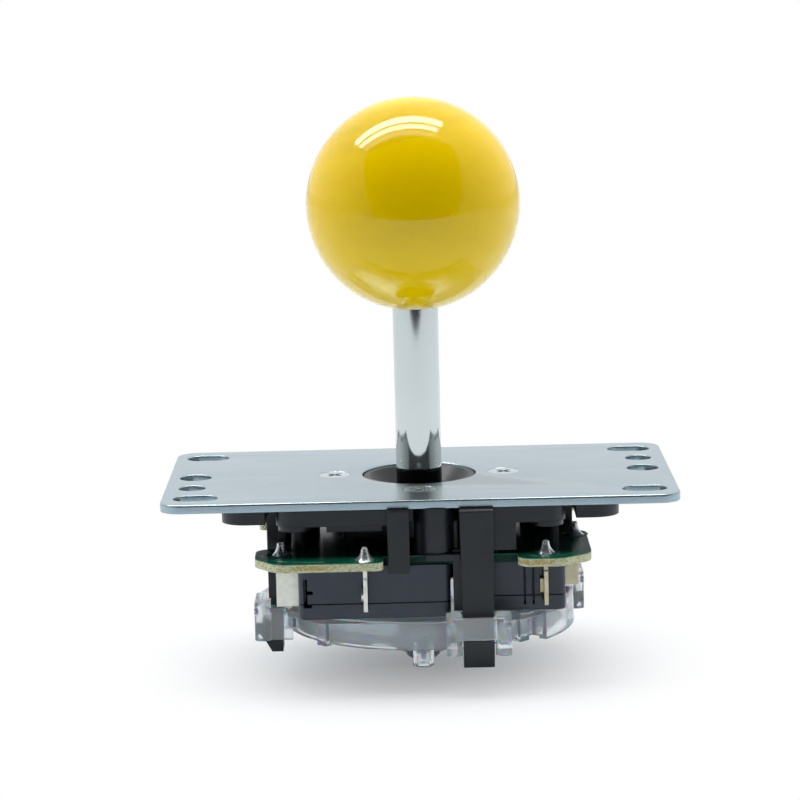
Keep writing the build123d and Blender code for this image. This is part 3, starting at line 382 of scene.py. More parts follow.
class Surface(Enum):
    """Each finish of the lever, by what the real piece is made of and how it was made."""

    # Cast polyester ball, polished: deep yellow that mirrors the lamps as clean arcs.
    BALL_RESIN = Finish("polished_yellow_resin", "#F9D000", "#F6CC00", roughness=0.07,
                        roughness_swing=0.012, tone_size=18.0, grain_size=6.0, grain_depth=0.002, ior=1.42,
                        subsurface=0.08)
    # Ground and chrome-plated steel: a neutral mirror with faint grinding lines round it.
    SHAFT_CHROME = Finish("chrome_plated_shaft", "#CBCDCA", "#C2C5C3", metallic=1.0, roughness=0.06,
                          roughness_swing=0.02, tone_size=9.0, grain_size=0.5, grain_depth=0.0006,
                          grain_stretch=(0.2, 0.2, 4.0))
    # Zinc-plated sheet, passivated: blue-grey metal, soft enough to blur what it mirrors.
    PLATE_ZINC = Finish("zinc_plated_sheet", "#A4B3B9", "#9DADB4", metallic=0.85, roughness=0.25,
                        roughness_swing=0.03, tone_size=14.0, grain_size=0.45, grain_depth=0.006,
                        edge_round=0.25)
    # The same plating on small turned and pressed steel, brighter where it was polished.
    SCREW_ZINC = Finish("zinc_plated_screw", "#CBD4D8", "#BBC5C9", metallic=0.7, roughness=0.26,
                        roughness_swing=0.06, tone_size=1.2, grain_depth=0.006, edge_round=0.12)
    # Injection-moulded ABS from a spark-eroded tool: charcoal black with a soft broad sheen.
    HOUSING_ABS = Finish("moulded_black_abs", "#12161D", "#0F1319", roughness=0.4, roughness_swing=0.05,
                         tone_size=6.0, grain_size=0.22, grain_depth=0.008, edge_round=0.3)
    # Moulded PBT switch bodies: slate grey, smoother than the housing.
    SWITCH_PBT = Finish("moulded_slate_pbt", "#303745", "#2A313E", roughness=0.34, roughness_swing=0.05,
                        tone_size=5.0, grain_size=0.2, grain_depth=0.005, edge_round=0.2)
    # Acetal pivot and actuator from a polished tool: near black. The low IOR keeps the bore dark.
    PIVOT_ACETAL = Finish("moulded_black_acetal", "#0C0D10", "#08090B", roughness=0.1, roughness_swing=0.03,
                          tone_size=4.0, ior=1.3, edge_round=0.2)
    # Natural acetal plungers: milky white and slightly translucent.
    PLUNGER_ACETAL = Finish("natural_acetal", "#D9D6CC", "#CCC8BC", roughness=0.4, tone_size=2.0,
                            grain_depth=0.003, subsurface=0.2)
    # Nylon header body: warm white.
    HEADER_NYLON = Finish("moulded_white_nylon", "#DAD8CF", "#CFCCC1", roughness=0.42, tone_size=3.0,
                          subsurface=0.15, edge_round=0.15)
    # Music wire, oiled: mid grey steel drawn along its length.
    SPRING_WIRE = Finish("drawn_spring_wire", "#8C9196", "#777C82", metallic=1.0, roughness=0.28,
                         roughness_swing=0.06, tone_size=1.5, grain_size=0.2)
    # Stainless strip for switch levers, washers and the retaining clip: satin from rolling.
    ROLLED_STEEL = Finish("rolled_stainless_strip", "#B9BCBE", "#A5A9AC", metallic=1.0, roughness=0.3,
                          roughness_swing=0.06, tone_size=2.5, grain_stretch=(0.25, 1, 2))
    # Tinned brass blades: creamy silver, dulled and scratched by stamping.
    TINNED_BRASS = Finish("tinned_brass_blade", "#EDEDE2", "#D2CFC0", metallic=1.0, roughness=0.4,
                          roughness_swing=0.1, tone_size=0.9, grain_size=0.25, grain_depth=0.01,
                          edge_round=0.08)
    # Pale yellow brass: the header pins' own metal, and on the right and left switches' blades a darker,
    # yellower copy of the tinned blade finish that paints shade on them.
    PIN_BRASS_AND_SHADED_BLADES = Finish("pin_brass_and_shaded_blade", "#CFC6AC", "#B3A686", metallic=1.0, roughness=0.36,
                        roughness_swing=0.08, tone_size=1.0, grain_size=0.25, grain_depth=0.008,
                        edge_round=0.08)
    # Turned brass insert in the ball.
    INSERT_BRASS = Finish("turned_brass_insert", "#C9A65A", "#B8934A", metallic=1.0, roughness=0.25,
                          tone_size=1.5, grain_size=0.15)
    # Tin-lead solder: bright, with dull frozen patches.
    SOLDER = Finish("frozen_solder", "#EEF0F1", "#D2D6D8", metallic=0.8, roughness=0.24,
                    roughness_swing=0.1, tone_size=0.6, grain_size=0.5, grain_depth=0.02)
    # Solder mask over copper: the track shows through as a lighter green.
    MASKED_COPPER = Finish("masked_copper_track", "#14664A", "#10583F", roughness=0.14,
                           roughness_swing=0.03, tone_size=1.5, grain_size=0.4, ior=1.52)
    # Moulded polycarbonate, water clear with a faint haze: soft grey lines where it bends the view.
    # Its IOR is below the plastic's usual 1.58, so that thin walls stay as pale as the real ones.
    CLEAR_POLYCARBONATE = Finish("clear_polycarbonate", "#F4F8FA", "#E4EBF0", roughness=0.07,
                                 roughness_swing=0.02, tone_size=8.0, grain_size=3.0, grain_depth=0.01,
                                 ior=1.3, transmission=0.8, subsurface=1.0, edge_round=0.3)
    LAMINATE = BoardLaminate()


@dataclass
class Workshop:
    """Keeps the materials already built, and dresses carried-over pieces."""

    made: dict[Surface, bpy.types.Material] = field(default_factory=dict)

    def material(self, surface: Surface) -> bpy.types.Material:
        """Return the material of a finish, building it the first time it is asked for."""
        if surface not in self.made:
            self.made[surface] = surface.value.build()
        return self.made[surface]

    def dress(self, obj: Piece, surface: Surface) -> Piece:
        """Give a piece its finish and smooth shading.

        Args:
            obj: The piece.
            surface: Its finish.

        Returns:
            The same piece.
        """
        obj.data.materials.clear()
        obj.data.materials.append(self.material(surface))
        shade_smooth(obj)
        LOG.info("dressed %s in %s", obj.name, surface.name)
        return obj

    def dress_node(self, name: str, surface: Surface) -> Piece:
        """Dress a carried-over solid by its node's name."""
        return self.dress(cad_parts[name], surface)


def shade_smooth(obj: Piece, crease_deg: float = 32.0) -> None:
    """Shade a piece smoothly up to its real edges.

    Args:
        obj: A mesh piece; its own vertices are left as they are.
        crease_deg: Edges sharper than this stay edges.
    """
    mesh = obj.data
    mesh.polygons.foreach_set("use_smooth", [True] * len(mesh.polygons))
    weld = obj.modifiers.new("weld", "WELD")
    weld.merge_threshold = 0.001 * MM
    split = obj.modifiers.new("edges", "EDGE_SPLIT")
    split.split_angle = math.radians(crease_deg)
    split.use_edge_sharp = False


def mesh_object(name: str, verts: Iterable[Sequence[float]], faces: Iterable[Sequence[int]]) -> Piece:
    """Make a mesh object from points in millimetres.

    Args:
        name: The piece's name.
        verts: Points in the part's frame, in millimetres.
        faces: Corner lists.

    Returns:
        The linked object, with faces turned outwards.
    """
    mesh = bpy.data.meshes.new(name)
    mesh.from_pydata([[c * MM for c in v] for v in verts], [], list(faces))
    work = bmesh.new()
    work.from_mesh(mesh)
    bmesh.ops.recalc_face_normals(work, faces=work.faces)
    work.to_mesh(mesh)
    work.free()
    obj = bpy.data.objects.new(name, mesh)
    bpy.context.scene.collection.objects.link(obj)
    return obj


@dataclass
class Skin:
    """Points, in millimetres, and corner lists collected for one mesh."""

    verts: list[Point3] = field(default_factory=list)
    faces: list[list[int]] = field(default_factory=list)

    def add_rings(self, rings: Sequence[Sequence[Point3]]) -> None:
        """Join rings of equally many points into one closed form with flat ends.

        Args:
            rings: The rings, from one end to the other.
        """
        first, count = len(self.verts), len(rings[0])
        last = first + (len(rings) - 1) * count
        for ring in rings:
            self.verts += ring
        for low in range(first, last, count):
            for step in range(count):
                after = (step + 1) % count
                self.faces.append([low + step, low + after, low + count + after, low + count + step])
        self.faces += [list(range(first, first + count)), list(range(last, last + count))]

    def piece(self, name: str) -> Piece:
        """Make the mesh object."""
        return mesh_object(name, self.verts, self.faces)


def circle(centre: Point2, radius: float, steps: int) -> list[Point2]:
    """Give evenly spaced points round a circle, the first one along X."""
    angles = [math.tau * step / steps for step in range(steps)]
    return [(centre[0] + radius * math.cos(a), centre[1] + radius * math.sin(a)) for a in angles]


def lathe(name: str, profile: Sequence[Point2], segments: int) -> Piece:
    """Turn a profile about the lever's upright axis.

    Args:
        name: The piece's name.
        profile: Radius and height pairs in millimetres, from axis to axis; radius 0 is the axis.
        segments: Divisions round the axis.

    Returns:
        The turned piece.
    """
    skin = Skin()
    rings: list[list[int]] = []
    for radius, height in profile:
        points = circle((0, 0), radius, segments) if radius else [(0, 0)]
        first, count = len(skin.verts), len(points)
        rings.append([first + step % count for step in range(segments)])
        skin.verts += [(x, y, height) for x, y in points]
    for lower, upper in zip(rings, rings[1:]):
        for step in range(segments):
            after = (step + 1) % segments
            face = list(dict.fromkeys([lower[step], lower[after], upper[after], upper[step]]))
            if len(face) > 2:
                skin.faces.append(face)
    return skin.piece(name)


def arc_points(centre: Point2, radius: float, start_deg: float, end_deg: float, steps: int) -> list[Point2]:
    """Points along an arc in a profile.

    Args:
        centre: The arc's centre, as radius and height.
        radius: The arc's radius.
        start_deg: Angle of the first point, 0 pointing away from the axis.
        end_deg: Angle of the last point.
        steps: How many stretches the arc is cut into.

    Returns:
        The points, ends included.
    """
    angles = [math.radians(start_deg + (end_deg - start_deg) * i / steps) for i in range(steps + 1)]
    return [(centre[0] + radius * math.cos(a), centre[1] + radius * math.sin(a)) for a in angles]


def turned(point: Point2, side: int) -> Point2:
    """Turn a point of the front side to another side of the pinwheel."""
    angle = math.radians(90 * side)
    x, y = point
    return (x * math.cos(angle) - y * math.sin(angle), x * math.sin(angle) + y * math.cos(angle))


@dataclass
class LeverStack:
    """Ball, shaft, pivot and what hangs on the shaft below; lengths in millimetres."""

    ball_segments: int = 192
    shaft_segments: int = 96
    flat_edge: float = 0.3
    flat_lip: float = 0.03
    pocket_radius: float = 4.52
    pocket_depth: float = 16.02
    flat_radius: float = 5.4
    shaft_lower_radius: float = 3.2
    shaft_shoulder: float = 1.2
    groove_radius: float = 2.4
    groove_top: float = -33.1
    groove_height: float = 0.8
    stud_radius: float = 2.95
    stud_length: float = 14.0
    edge_break: float = 0.4
    dimple_radius: float = 0.5
    dimple_depth: float = 1.2
    thread_pitch: float = 1.0
    thread_depth: float = 0.35
    wire_radius: float = 0.55
    spring_turns: float = 4.5
    wire_sides: int = 16
    steps_per_turn: int = 64

    def build(self, shop: Workshop) -> None:
        """Make and dress the moving stack.

        Args:
            shop: Where finishes come from.
        """
        self.make_ball(shop)
        self.make_shaft(shop)
        self.make_spring(shop)
        for name in ("pivot", "actuator"):
            shop.dress_node(name, Surface.PIVOT_ACETAL)
        for name in ("actuator_washer", "e_clip", "spring_seat"):
            shop.dress_node(name, Surface.ROLLED_STEEL)
        shop.dress_node("ball_insert", Surface.INSERT_BRASS)

    def ball_sizes(self) -> tuple[float, float, float]:
        """Read the ball's radius, centre height and flat height from the frame, in millimetres."""
        low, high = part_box("ball_top")
        radius = (high.x - low.x) / 2 / MM
        return radius, high.z / MM - radius, low.z / MM

    def make_ball(self, shop: Workshop) -> None:
        """Turn the ball with its flat, its softened edge and the pocket for the insert."""
        radius, centre_z, flat_z = self.ball_sizes()
        start = -math.degrees(math.acos((self.flat_radius + self.flat_edge) / radius))
        outer = arc_points((0, centre_z), radius, 90, start, self.ball_segments // 2)
        outer[0] = (0.0, outer[0][1])
        edge = [(self.flat_radius, flat_z + self.flat_lip), (self.flat_radius - self.flat_edge, flat_z)]
        pocket = [(self.pocket_radius, flat_z), (self.pocket_radius, flat_z + self.pocket_depth),
                  (0.0, flat_z + self.pocket_depth)]
        ball = lathe("ball", outer + edge + pocket, self.ball_segments)
        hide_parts("ball_top")
        shop.dress(ball, Surface.BALL_RESIN)
        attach(ball, "lever")

    def make_shaft(self, shop: Workshop) -> None:
        """Turn the shaft with its shoulder, clip groove, broken edges and threaded stud."""
        low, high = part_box("shaft")
        radius = (high.x - low.x) / 2 / MM
        bottom = low.z / MM
        flat_z = self.ball_sizes()[2]
        lower, cut, groove = self.shaft_lower_radius, self.edge_break, self.groove_top
        dimple = bottom + self.dimple_depth
        profile: list[Point2] = [(0, dimple), (self.dimple_radius, dimple), (self.dimple_radius, bottom),
                                 (lower - cut, bottom), (lower, bottom + cut),
                                 (lower, groove - self.groove_height),
                                 (self.groove_radius, groove - self.groove_height),
                                 (self.groove_radius, groove), (lower, groove),
                                 (lower, self.shaft_shoulder), (radius - cut / 2, self.shaft_shoulder),
                                 (radius, self.shaft_shoulder + cut / 2), (radius, flat_z - cut / 4),
                                 (radius - cut / 4, flat_z), (self.stud_radius, flat_z)]
        turns = int(self.stud_length / self.thread_pitch)
        for turn in range(turns):
            base = flat_z + turn * self.thread_pitch
            profile.append((self.stud_radius - self.thread_depth, base + self.thread_pitch / 2))
            profile.append((self.stud_radius, base + self.thread_pitch))
        profile.append((0, flat_z + turns * self.thread_pitch))
        shaft = lathe("lever_shaft", profile, self.shaft_segments)
        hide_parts("shaft")
        shop.dress(shaft, Surface.SHAFT_CHROME)
        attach(shaft, "lever")

    def make_spring(self, shop: Workshop) -> None:
        """Wind the return spring from round wire."""
        low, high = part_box("return_spring")
        mean = (high.x - low.x) / 2 / MM - self.wire_radius
        start = low.z / MM + self.wire_radius
        rise = (high.z - low.z) / MM - 2 * self.wire_radius
        count = int(self.spring_turns * self.steps_per_turn)
        turns = [math.tau * k / self.wire_sides for k in range(self.wire_sides)]
        rings: list[list[Point3]] = []
        for i in range(count + 1):
            angle = math.tau * self.spring_turns * i / count
            out = Vector((math.cos(angle), math.sin(angle), 0))
            centre = out * mean + Vector((0, 0, start + rise * i / count))
            rings.append([tuple(centre + self.wire_radius * (out * math.cos(turn)
                                                             + Vector((0, 0, math.sin(turn)))))
                          for turn in turns])
        skin = Skin()
        skin.add_rings(rings)
        spring = skin.piece("coil_spring")
        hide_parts("return_spring")
        shop.dress(spring, Surface.SPRING_WIRE)
        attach(spring, "spring")


@dataclass
class PlateAndHousing:
    """The sheet-metal plate, its screws, and the moulded housing under it."""

    def build(self, shop: Workshop) -> None:
        """Dress the fixed upper pieces."""
        shop.dress_node("mounting_plate", Surface.PLATE_ZINC)
        shop.dress_node("plate_screws", Surface.SCREW_ZINC)
        shop.dress_node("housing", Surface.HOUSING_ABS)


@dataclass
class SnapStraps:
    """The long snap straps from under the plate down to their barbs, with the walls behind them.

    The solid housing lacks stretches of its four straps, so they are made whole here. Lengths
    are in millimetres.
    """

    centre: float = 10.1
    outer: float = 28.6
    thickness: float = 2.4
    top_width: float = 6.15
    tip_width: float = 5.6
    top: float = -1.6
    tip: float = -21.3
    top_chamfer: float = 0.35
    lower_end: float = -20.8
    lap: float = 0.2
    proud: float = 0.01
    wall_start: float = 5.7
    wall_end: float = 8.2
    wall_thickness: float = 1.2
    wall_top: float = -9.4

    def build(self, shop: Workshop) -> None:
        """Make each strap, and the wall that stands behind its edge.

        Args:
            shop: Where finishes come from.
        """
        skin = Skin()
        rear = self.thickness - self.outer
        for side in range(len(SIDES)):
            bar = []
            for height, back in ((self.lower_end - self.lap, 0.0), (self.top - self.top_chamfer, 0.0),
                                 (self.top - self.proud, self.top_chamfer)):
                half = self.width_at(height) / 2 + self.proud
                bar.append((height, self.centre - half, self.centre + half,
                            back - self.outer - self.proud, rear + self.proud))
            self.add_bar(skin, bar, side)
            self.add_bar(skin, [(height, self.wall_start, self.wall_end, rear, rear + self.wall_thickness)
                                for height in (self.lower_end, self.wall_top)], side)
        straps = skin.piece("strap_stretches")
        shop.dress(straps, Surface.HOUSING_ABS)
        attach(straps, "base")

    def width_at(self, height: float) -> float:
        """Give the strap's width at a height; it narrows towards the tip."""
        share = (height - self.tip) / (self.top - self.tip)
        return self.tip_width + (self.top_width - self.tip_width) * share

    def add_bar(self, skin: Skin, levels: Sequence[tuple[float, ...]], side: int) -> None:
        """Add one closed four-sided bar.

        Args:
            skin: What the bar is added to.
            levels: From below, each level's height, left and right end, and front and rear face.
            side: Which side of the pinwheel it is on.
        """
        skin.add_rings([[(*turned(corner, side), height)
                         for corner in ((left, front), (right, front), (right, rear), (left, rear))]
                        for height, left, right, front, rear in levels])


@dataclass
class SwitchBank:
    """Four lever switches: cases, covers, plungers, levers and blades."""

    def build(self, shop: Workshop) -> None:
        """Dress every switch; the blades on the right and left take the darker brass finish, as painted
        shade.
        """
        for side in SIDES:
            # The right and left blades get a darker, yellower finish than the front and back ones: painted
            # shade on the same tinned blades
            blades = Surface.TINNED_BRASS if side in ("front", "back") else Surface.PIN_BRASS_AND_SHADED_BLADES
            for piece, surface in (("case", Surface.SWITCH_PBT), ("cover", Surface.SWITCH_PBT),
                                   ("plunger", Surface.PLUNGER_ACETAL), ("lever", Surface.ROLLED_STEEL),
                                   ("terminals", blades)):
                shop.dress_node(f"switch_{piece}_{side}", surface)


@dataclass
class Board:
    """Circuit board with its tracks, frozen solder and wiring header; lengths in millimetres.

    Each pad is its place and the radius of its solder's foot. The first side's pads and track
    are turned round to the other three.
    """

    track_width: float = 1.1
    track_height: float = 0.045
    track_lift: float = 0.002
    track_top_share: float = 0.92
    track_run: tuple[Point2, ...] = ((-17.5, -29.2), (-23.6, -28.8), (-26.4, -27.4), (-28.3, -24.9),
                                     (-28.6, -21.0), (-26.9, -19.2), (-20.0, -19.0))
    ring_radius: float = 2.35
    ring_width_share: float = 0.45
    ring_steps: int = 40
    pads: tuple[tuple[Point2, float], ...] = (((-25.7, -22.6), 1.6), ((-10.3, -28.7), 1.85))
    neck_radius: float = 0.66
    solder_rise: float = 2.55
    solder_segments: int = 28
    solder_rings: int = 12
    foot_shares: Point2 = (0.94, 1.06)
    rise_shares: Point2 = (0.92, 1.0)
    lump_shares: Point2 = (0.01, 0.05)
    lump_counts: tuple[int, ...] = (2, 3, 5)
    hollow_power: float = 2.6
    crown_start: float = 0.85
    crown_span: float = 0.155
    seed: int = 7

    def build(self, shop: Workshop) -> None:
        """Make and dress everything on the board."""
        shop.dress_node("circuit_board", Surface.LAMINATE)
        shop.dress_node("pin_header", Surface.HEADER_NYLON)
        shop.dress_node("header_pins", Surface.PIN_BRASS_AND_SHADED_BLADES)
        self.make_solder(shop)
        self.make_tracks(shop)

    def board_top(self) -> float:
        """Height of the board's top face, in millimetres."""
        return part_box("circuit_board")[1].z / MM

    def make_solder(self, shop: Workshop) -> None:
        """Freeze an uneven cone of solder round each terminal pin."""
        dice = random.Random(self.seed)
        skin = Skin()
        for side in range(len(SIDES)):
            for pad, foot in self.pads:
                self.add_cone(skin, turned(pad, side), foot * dice.uniform(*self.foot_shares), dice)
        solder = skin.piece("solder_fillets")
        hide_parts("solder_joints")
        shop.dress(solder, Surface.SOLDER)
        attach(solder, "base")

    def add_cone(self, skin: Skin, centre: Point2, foot: float, dice: random.Random) -> None:
        """Add one hollow-sided solder cone.

        Args:
            skin: What the cone is added to.
            centre: The pin's place.
            foot: Radius at the board.
            dice: Where its unevenness comes from.
        """
        top = self.board_top()
        lumps = [(k, dice.uniform(0, math.tau), dice.uniform(*self.lump_shares)) for k in self.lump_counts]
        rise = self.solder_rise * dice.uniform(*self.rise_shares)
        rings: list[list[Point3]] = []
        for ring in range(self.solder_rings + 1):
            share = ring / self.solder_rings
            radius = self.neck_radius + (foot - self.neck_radius) * (1 - share) ** self.hollow_power
            if share > self.crown_start:
                radius *= math.sqrt(max(0.0, 1 - ((share - self.crown_start) / self.crown_span) ** 2))
            points: list[Point3] = []
            for step in range(self.solder_segments):
                angle = math.tau * step / self.solder_segments
                reach = radius * (1 + sum(size * math.sin(k * angle + phase) for k, phase, size in lumps))
                points.append((centre[0] + reach * math.cos(angle), centre[1] + reach * math.sin(angle),
                               top + rise * share))
            rings.append(points)
        skin.add_rings(rings)

    def make_tracks(self, shop: Workshop) -> None:
        """Lay the copper tracks that show as lighter green under the solder mask."""
        skin = Skin()
        for side in range(len(SIDES)):
            for pad, _ in self.pads:
                ring = circle(turned(pad, side), self.ring_radius, self.ring_steps)
                self.add_ribbon(skin, [*ring, ring[0]], self.track_width * self.ring_width_share)
            run = [turned(point, side) for point in rounded_route(self.track_run)]
            self.add_ribbon(skin, run, self.track_width)
        tracks = skin.piece("board_tracks")
        shop.dress(tracks, Surface.MASKED_COPPER)
        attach(tracks, "base")

    def add_ribbon(self, skin: Skin, route: Sequence[Point2], width: float) -> None:
        """Add one flat raised strip along a route on the board.

        Args:
            skin: What the strip is added to.
            route: The strip's middle line.
            width: Its width.
        """
        base = self.board_top()
        low, high = base + self.track_lift, base + self.track_height
        share = self.track_top_share
        rings: list[list[Point3]] = []
        for i, point in enumerate(route):
            along = Vector(route[min(i + 1, len(route) - 1)]) - Vector(route[max(i - 1, 0)])
            along.normalize()
            across = Vector((-along.y, along.x)) * width / 2
            rings.append([(*(Vector(point) + across * reach), height)
                          for reach, height in ((-1, low), (-share, high), (share, high), (1, low))])
        skin.add_rings(rings)


def rounded_route(corners: Sequence[Point2], steps: int = 6) -> list[Point2]:
    """Round a route's corners with short curves.

    Args:
        corners: The route's points.
        steps: Points along each curve.

    Returns:
        The points of the rounded route.
    """
    points = [Vector(c) for c in corners]
    route: list[Point2] = [tuple(points[0])]
    for before, corner, after in zip(points, points[1:], points[2:]):
        start = (before + corner) / 2
        end = (corner + after) / 2
        for i in range(steps + 1):
            t = i / steps
            place = start * (1 - t) ** 2 + corner * 2 * t * (1 - t) + end * t ** 2
            route.append(tuple(place))
    route.append(tuple(points[-1]))
    return route


@dataclass
class ClearGate:
    """The clear gate base and the restrictor disc inside it."""

    def build(self, shop: Workshop) -> None:
        """Dress both clear mouldings."""
        shop.dress_node("gate_base", Surface.CLEAR_POLYCARBONATE)
        shop.dress_node("restrictor_disc", Surface.CLEAR_POLYCARBONATE)


# The tent's cloth from front to back and from its sides to its roof, and the edge of its opening
BACK_CLOTH = {"From Min": -0.75, "From Max": 0.45, "To Min": 0.34, "To Max": 1.0}
ROOF_CLOTH = {"From Min": 0.35, "From Max": 0.9, "To Max": 0.95}
OPENING_EDGE = {"From Min": -0.02, "From Max": 0.02}

# Where the table's paper fades into a plain white glow, in millimetres from the centre; near the object the
# glow paints light over the outer part of its shadow
PAPER_GLOW_FADE = {"From Min": 20.0, "From Max": 70.0}


@dataclass
class Studio:
    """A white tent with an opening for the camera, overhead lamps, and a pale floor.

    Lengths are in millimetres. Each row of tubes is its place from front to back, its width and
    its radiance. Each side of the opening is the direction square to it, towards the opening.
    """

    floor_z: float = -36.2
    floor_half: float = 6000.0
    focal_px: float = 2998.2
    picture_px: float = 800.0
    sensor: float = 36.0
    distance: float = 569.163
    yaw: float = 0.131
    pitch: float = 9.471
    roll: float = -1.372
    shift_right: float = -3.284
    shift_up: float = 13.849
    clip_near: float = 10.0
    clip_far: float = 50000.0
    table_front: float = -450.0
    paper_hex: str = "#DFE5EA"
    # How white the floor glows where it is seen through the clear gate: painted light over the shadow under
    # the object
    gate_glow: float = 0.92
    tent_hex: str = "#F6F9FC"
    room_hex: str = "#0B0C0E"
    soft_gain: float = 0.35
    opening_sides: tuple[Point3, ...] = ((0.63, -0.64, 0.43), (-0.60, -0.72, 0.33), (0.0, -0.994, -0.112))
    lamp_height: float = 1000.0
    tubes: tuple[Point3, ...] = ((383.0, 50.0, 8.0), (327.0, 60.0, 14.0), (255.0, 80.0, 13.0),
                                 (143.0, 40.0, 13.0), (80.0, 70.0, 14.0), (-48.0, 110.0, 2.2))
    tube_x: float = -250.0
    tube_length: float = 1300.0
    tube_middle: float = 300.0
    tube_shortening: float = 0.5
    soft_place: Point2 = (-120.0, 120.0)
    soft_size: Point2 = (1500.0, 700.0)
    soft_power: float = 15.0

    def build(self) -> None:
        """Set up the camera, the world, the lamps and the floor."""
        scene = bpy.context.scene
        scene.view_settings.view_transform = "Standard"
        scene.camera = self.make_camera()
        self.make_world()
        self.make_floor()
        self.make_lamps()

    def make_camera(self) -> Piece:
        """Place the camera where the photograph was taken from.

        Returns:
            The camera object.
        """
        yaw, pitch, roll = (math.radians(a) for a in (self.yaw, self.pitch, self.roll))
        back = Vector((math.sin(yaw) * math.cos(pitch), -math.cos(yaw) * math.cos(pitch), math.sin(pitch)))
        right = (-back).cross(Vector((0, 0, 1))).normalized()
        up = right.cross(-back)
        place = back * self.distance + right * self.shift_right + up * self.shift_up
        right_turned = right * math.cos(roll) + up * math.sin(roll)
        up_turned = up * math.cos(roll) - right * math.sin(roll)
        data = bpy.data.cameras.new("camera")
        data.sensor_width = self.sensor
        data.lens = self.focal_px / self.picture_px * self.sensor
        data.clip_start, data.clip_end = self.clip_near * MM, self.clip_far * MM
        camera = bpy.data.objects.new("camera", data)
        camera.matrix_world = Matrix((
            (right_turned.x, up_turned.x, back.x, place.x * MM),
            (right_turned.y, up_turned.y, back.y, place.y * MM),
            (right_turned.z, up_turned.z, back.z, place.z * MM),
            (0, 0, 0, 1)))
        bpy.context.scene.collection.objects.link(camera)
        return camera

    def make_world(self) -> None:
        """Light the set like a white tent whose open front is dark in reflections."""
        world = bpy.data.worlds.new("tent")
        world.use_nodes = True
        bpy.context.scene.world = world
        tree = world.node_tree
        tree.nodes.clear()
        output = add_node(tree, "ShaderNodeOutputWorld")
        source = add_node(tree, "ShaderNodeTexCoord")
        way = source.outputs["Generated"]
        tent = add_node(tree, "ShaderNodeMix", {COLOUR_B: linear_colour(self.room_hex)},
                        {FACTOR: self.add_opening(tree, way), COLOUR_A: self.add_cloth(tree, way)},
                        data_type="RGBA")
        path = add_node(tree, "ShaderNodeLightPath")
        seen = add_node(tree, "ShaderNodeMath",
                        links={VALUE_A: path.outputs["Is Camera Ray"],
                               VALUE_B: path.outputs["Is Transmission Ray"]}, operation="MAXIMUM")
        strength = add_node(tree, "ShaderNodeMath", {VALUE_B: self.soft_gain, VALUE_C: 1.0},
                            {VALUE_A: path.outputs["Is Diffuse Ray"]}, operation="MULTIPLY_ADD")
        tent_light = add_node(tree, "ShaderNodeBackground",
                              links={"Color": tent.outputs[COLOUR_OUT], "Strength": strength.outputs[0]})
        white = add_node(tree, "ShaderNodeBackground", {"Color": (1, 1, 1, 1), "Strength": 1.0})
        mix = add_node(tree, "ShaderNodeMixShader",
                       links={FACTOR: seen.outputs[0], SHADER_A: tent_light.outputs[0],
                              SHADER_B: white.outputs[0]})
        tree.links.new(mix.outputs[0], output.inputs["Surface"])

    def add_opening(self, tree: Tree, way: Socket) -> Socket:
        """Mask the directions that look out through the tent's open front.

        Args:
            tree: The node tree that takes the nodes.
            way: The direction looked in.

        Returns:
            1 inside the opening, 0 outside, softened at the cloth's edges.
        """
        opening = None
        for facing in self.opening_sides:
            reach = add_node(tree, "ShaderNodeVectorMath", {VALUE_B: facing}, {VALUE_A: way},
                             operation="DOT_PRODUCT")
            side = add_node(tree, "ShaderNodeMapRange", OPENING_EDGE, {"Value": reach.outputs["Value"]},
                            interpolation_type="SMOOTHSTEP").outputs["Result"]
            opening = side if opening is None else add_node(
                tree, "ShaderNodeMath", links={VALUE_A: opening, VALUE_B: side},
                operation="MULTIPLY").outputs[0]
        return opening

    def add_cloth(self, tree: Tree, way: Socket) -> Socket:
        """Shade the tent's cloth: dim beside the open front, bright at the back and under the lamps.

        Args:
            tree: The node tree that takes the nodes.
            way: The direction looked in.

        Returns:
            The cloth's light.
        """
        parts = add_node(tree, "ShaderNodeSeparateXYZ", links={"Vector": way})
        back, roof = (add_node(tree, "ShaderNodeMapRange", shades, {"Value": parts.outputs[axis]},
                               interpolation_type="SMOOTHSTEP")
                      for axis, shades in (("Y", BACK_CLOTH), ("Z", ROOF_CLOTH)))
        light = add_node(tree, "ShaderNodeMath", links={VALUE_A: back.outputs["Result"],
                                                        VALUE_B: roof.outputs["Result"]},
                         operation="MAXIMUM")
        cloth = add_node(tree, "ShaderNodeVectorMath", {VALUE_A: linear_colour(self.tent_hex)[:3]},
                         operation="SCALE", links={"Scale": light.outputs[0]})
        return cloth.outputs["Vector"]

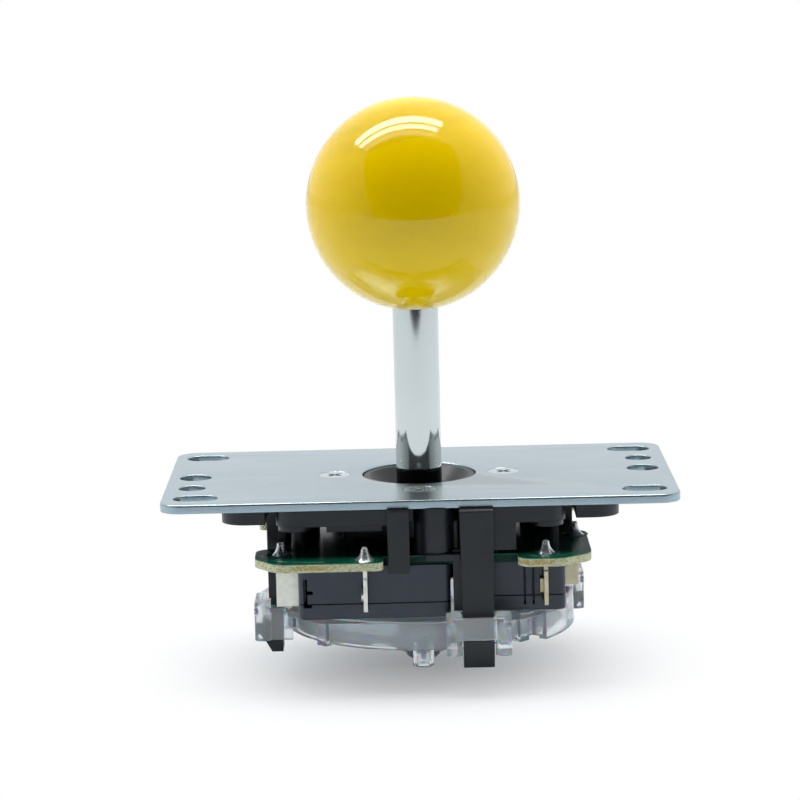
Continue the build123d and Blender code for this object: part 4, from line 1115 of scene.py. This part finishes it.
    def make_floor(self) -> None:
        """Lay a white table that keeps the shadow near the object and fades to a white glow away from it;
        that glow, and the near-white glow seen through the clear gate, are painted light over the shadow.
        """
        half = self.floor_half
        corners = ((-half, self.table_front), (half, self.table_front), (half, half), (-half, half))
        floor = mesh_object("floor", [(x, y, self.floor_z) for x, y in corners], [range(len(corners))])
        material, tree, output = new_material("white_paper_floor")
        space = millimetre_space(tree)
        distance = add_node(tree, "ShaderNodeVectorMath", links={VALUE_A: space}, operation="LENGTH")
        far = add_node(tree, "ShaderNodeMapRange", PAPER_GLOW_FADE, {"Value": distance.outputs["Value"]},
                       interpolation_type="SMOOTHSTEP")
        paper = add_node(tree, "ShaderNodeBsdfDiffuse", {"Color": linear_colour(self.paper_hex)})
        glow = add_node(tree, "ShaderNodeEmission", {"Color": (1, 1, 1, 1), "Strength": 1.0})
        path = add_node(tree, "ShaderNodeLightPath")
        direct = add_node(tree, "ShaderNodeMath",
                          links={VALUE_A: far.outputs["Result"], VALUE_B: path.outputs["Is Camera Ray"]},
                          operation="MULTIPLY")
        # Seen through the clear gate, the floor glows nearly white: painted light over its shadow there
        through = add_node(tree, "ShaderNodeMath", {VALUE_B: self.gate_glow},
                           {VALUE_A: path.outputs["Is Transmission Ray"]}, operation="MULTIPLY")
        share = add_node(tree, "ShaderNodeMath",
                         links={VALUE_A: direct.outputs[0], VALUE_B: through.outputs[0]},
                         operation="MAXIMUM")
        mix = add_node(tree, "ShaderNodeMixShader",
                       links={FACTOR: share.outputs[0], SHADER_A: paper.outputs[0],
                              SHADER_B: glow.outputs[0]})
        tree.links.new(mix.outputs[0], output.inputs["Surface"])
        floor.data.materials.append(material)

    def make_lamps(self) -> None:
        """Hang the tubes that show as arcs on the ball, and the soft light that they throw."""
        for number, (y, width, radiance) in enumerate(self.tubes):
            length = self.tube_length - self.tube_shortening * abs(y - self.tube_middle)
            power = radiance * math.pi * length * MM * width * MM
            tube = self.add_lamp(f"tube_{number}", (self.tube_x, y), (length, width), power)
            tube.visible_diffuse = False
        soft = self.add_lamp("soft_box", self.soft_place, self.soft_size, self.soft_power)
        soft.visible_glossy = False

    def add_lamp(self, name: str, place: Point2, size: Point2, power: float) -> Piece:
        """Hang one rectangular lamp that faces straight down.

        Args:
            name: The lamp's name.
            place: Where it hangs over the floor.
            size: Its length and width.
            power: Its power in watts.

        Returns:
            The lamp object.
        """
        data = bpy.data.lights.new(name, "AREA")
        data.shape = "RECTANGLE"
        data.size, data.size_y = size[0] * MM, size[1] * MM
        data.energy = power
        lamp = bpy.data.objects.new(name, data)
        lamp.location = Vector((*place, self.lamp_height)) * MM
        lamp.rotation_euler = Vector((0, 0, -1)).to_track_quat("-Z", "Y").to_euler()
        bpy.context.scene.collection.objects.link(lamp)
        return lamp


def main() -> None:
    """Build the dressed lever and its studio."""
    logging.basicConfig(level=logging.INFO, format="%(name)s %(message)s")
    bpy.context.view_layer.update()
    shop = Workshop()
    for assembly in (LeverStack(), PlateAndHousing(), SnapStraps(), SwitchBank(), Board(), ClearGate()):
        assembly.build(shop)
        LOG.info("built %s", type(assembly).__name__)
    Studio().build()


if __name__ == "__main__":
    main()
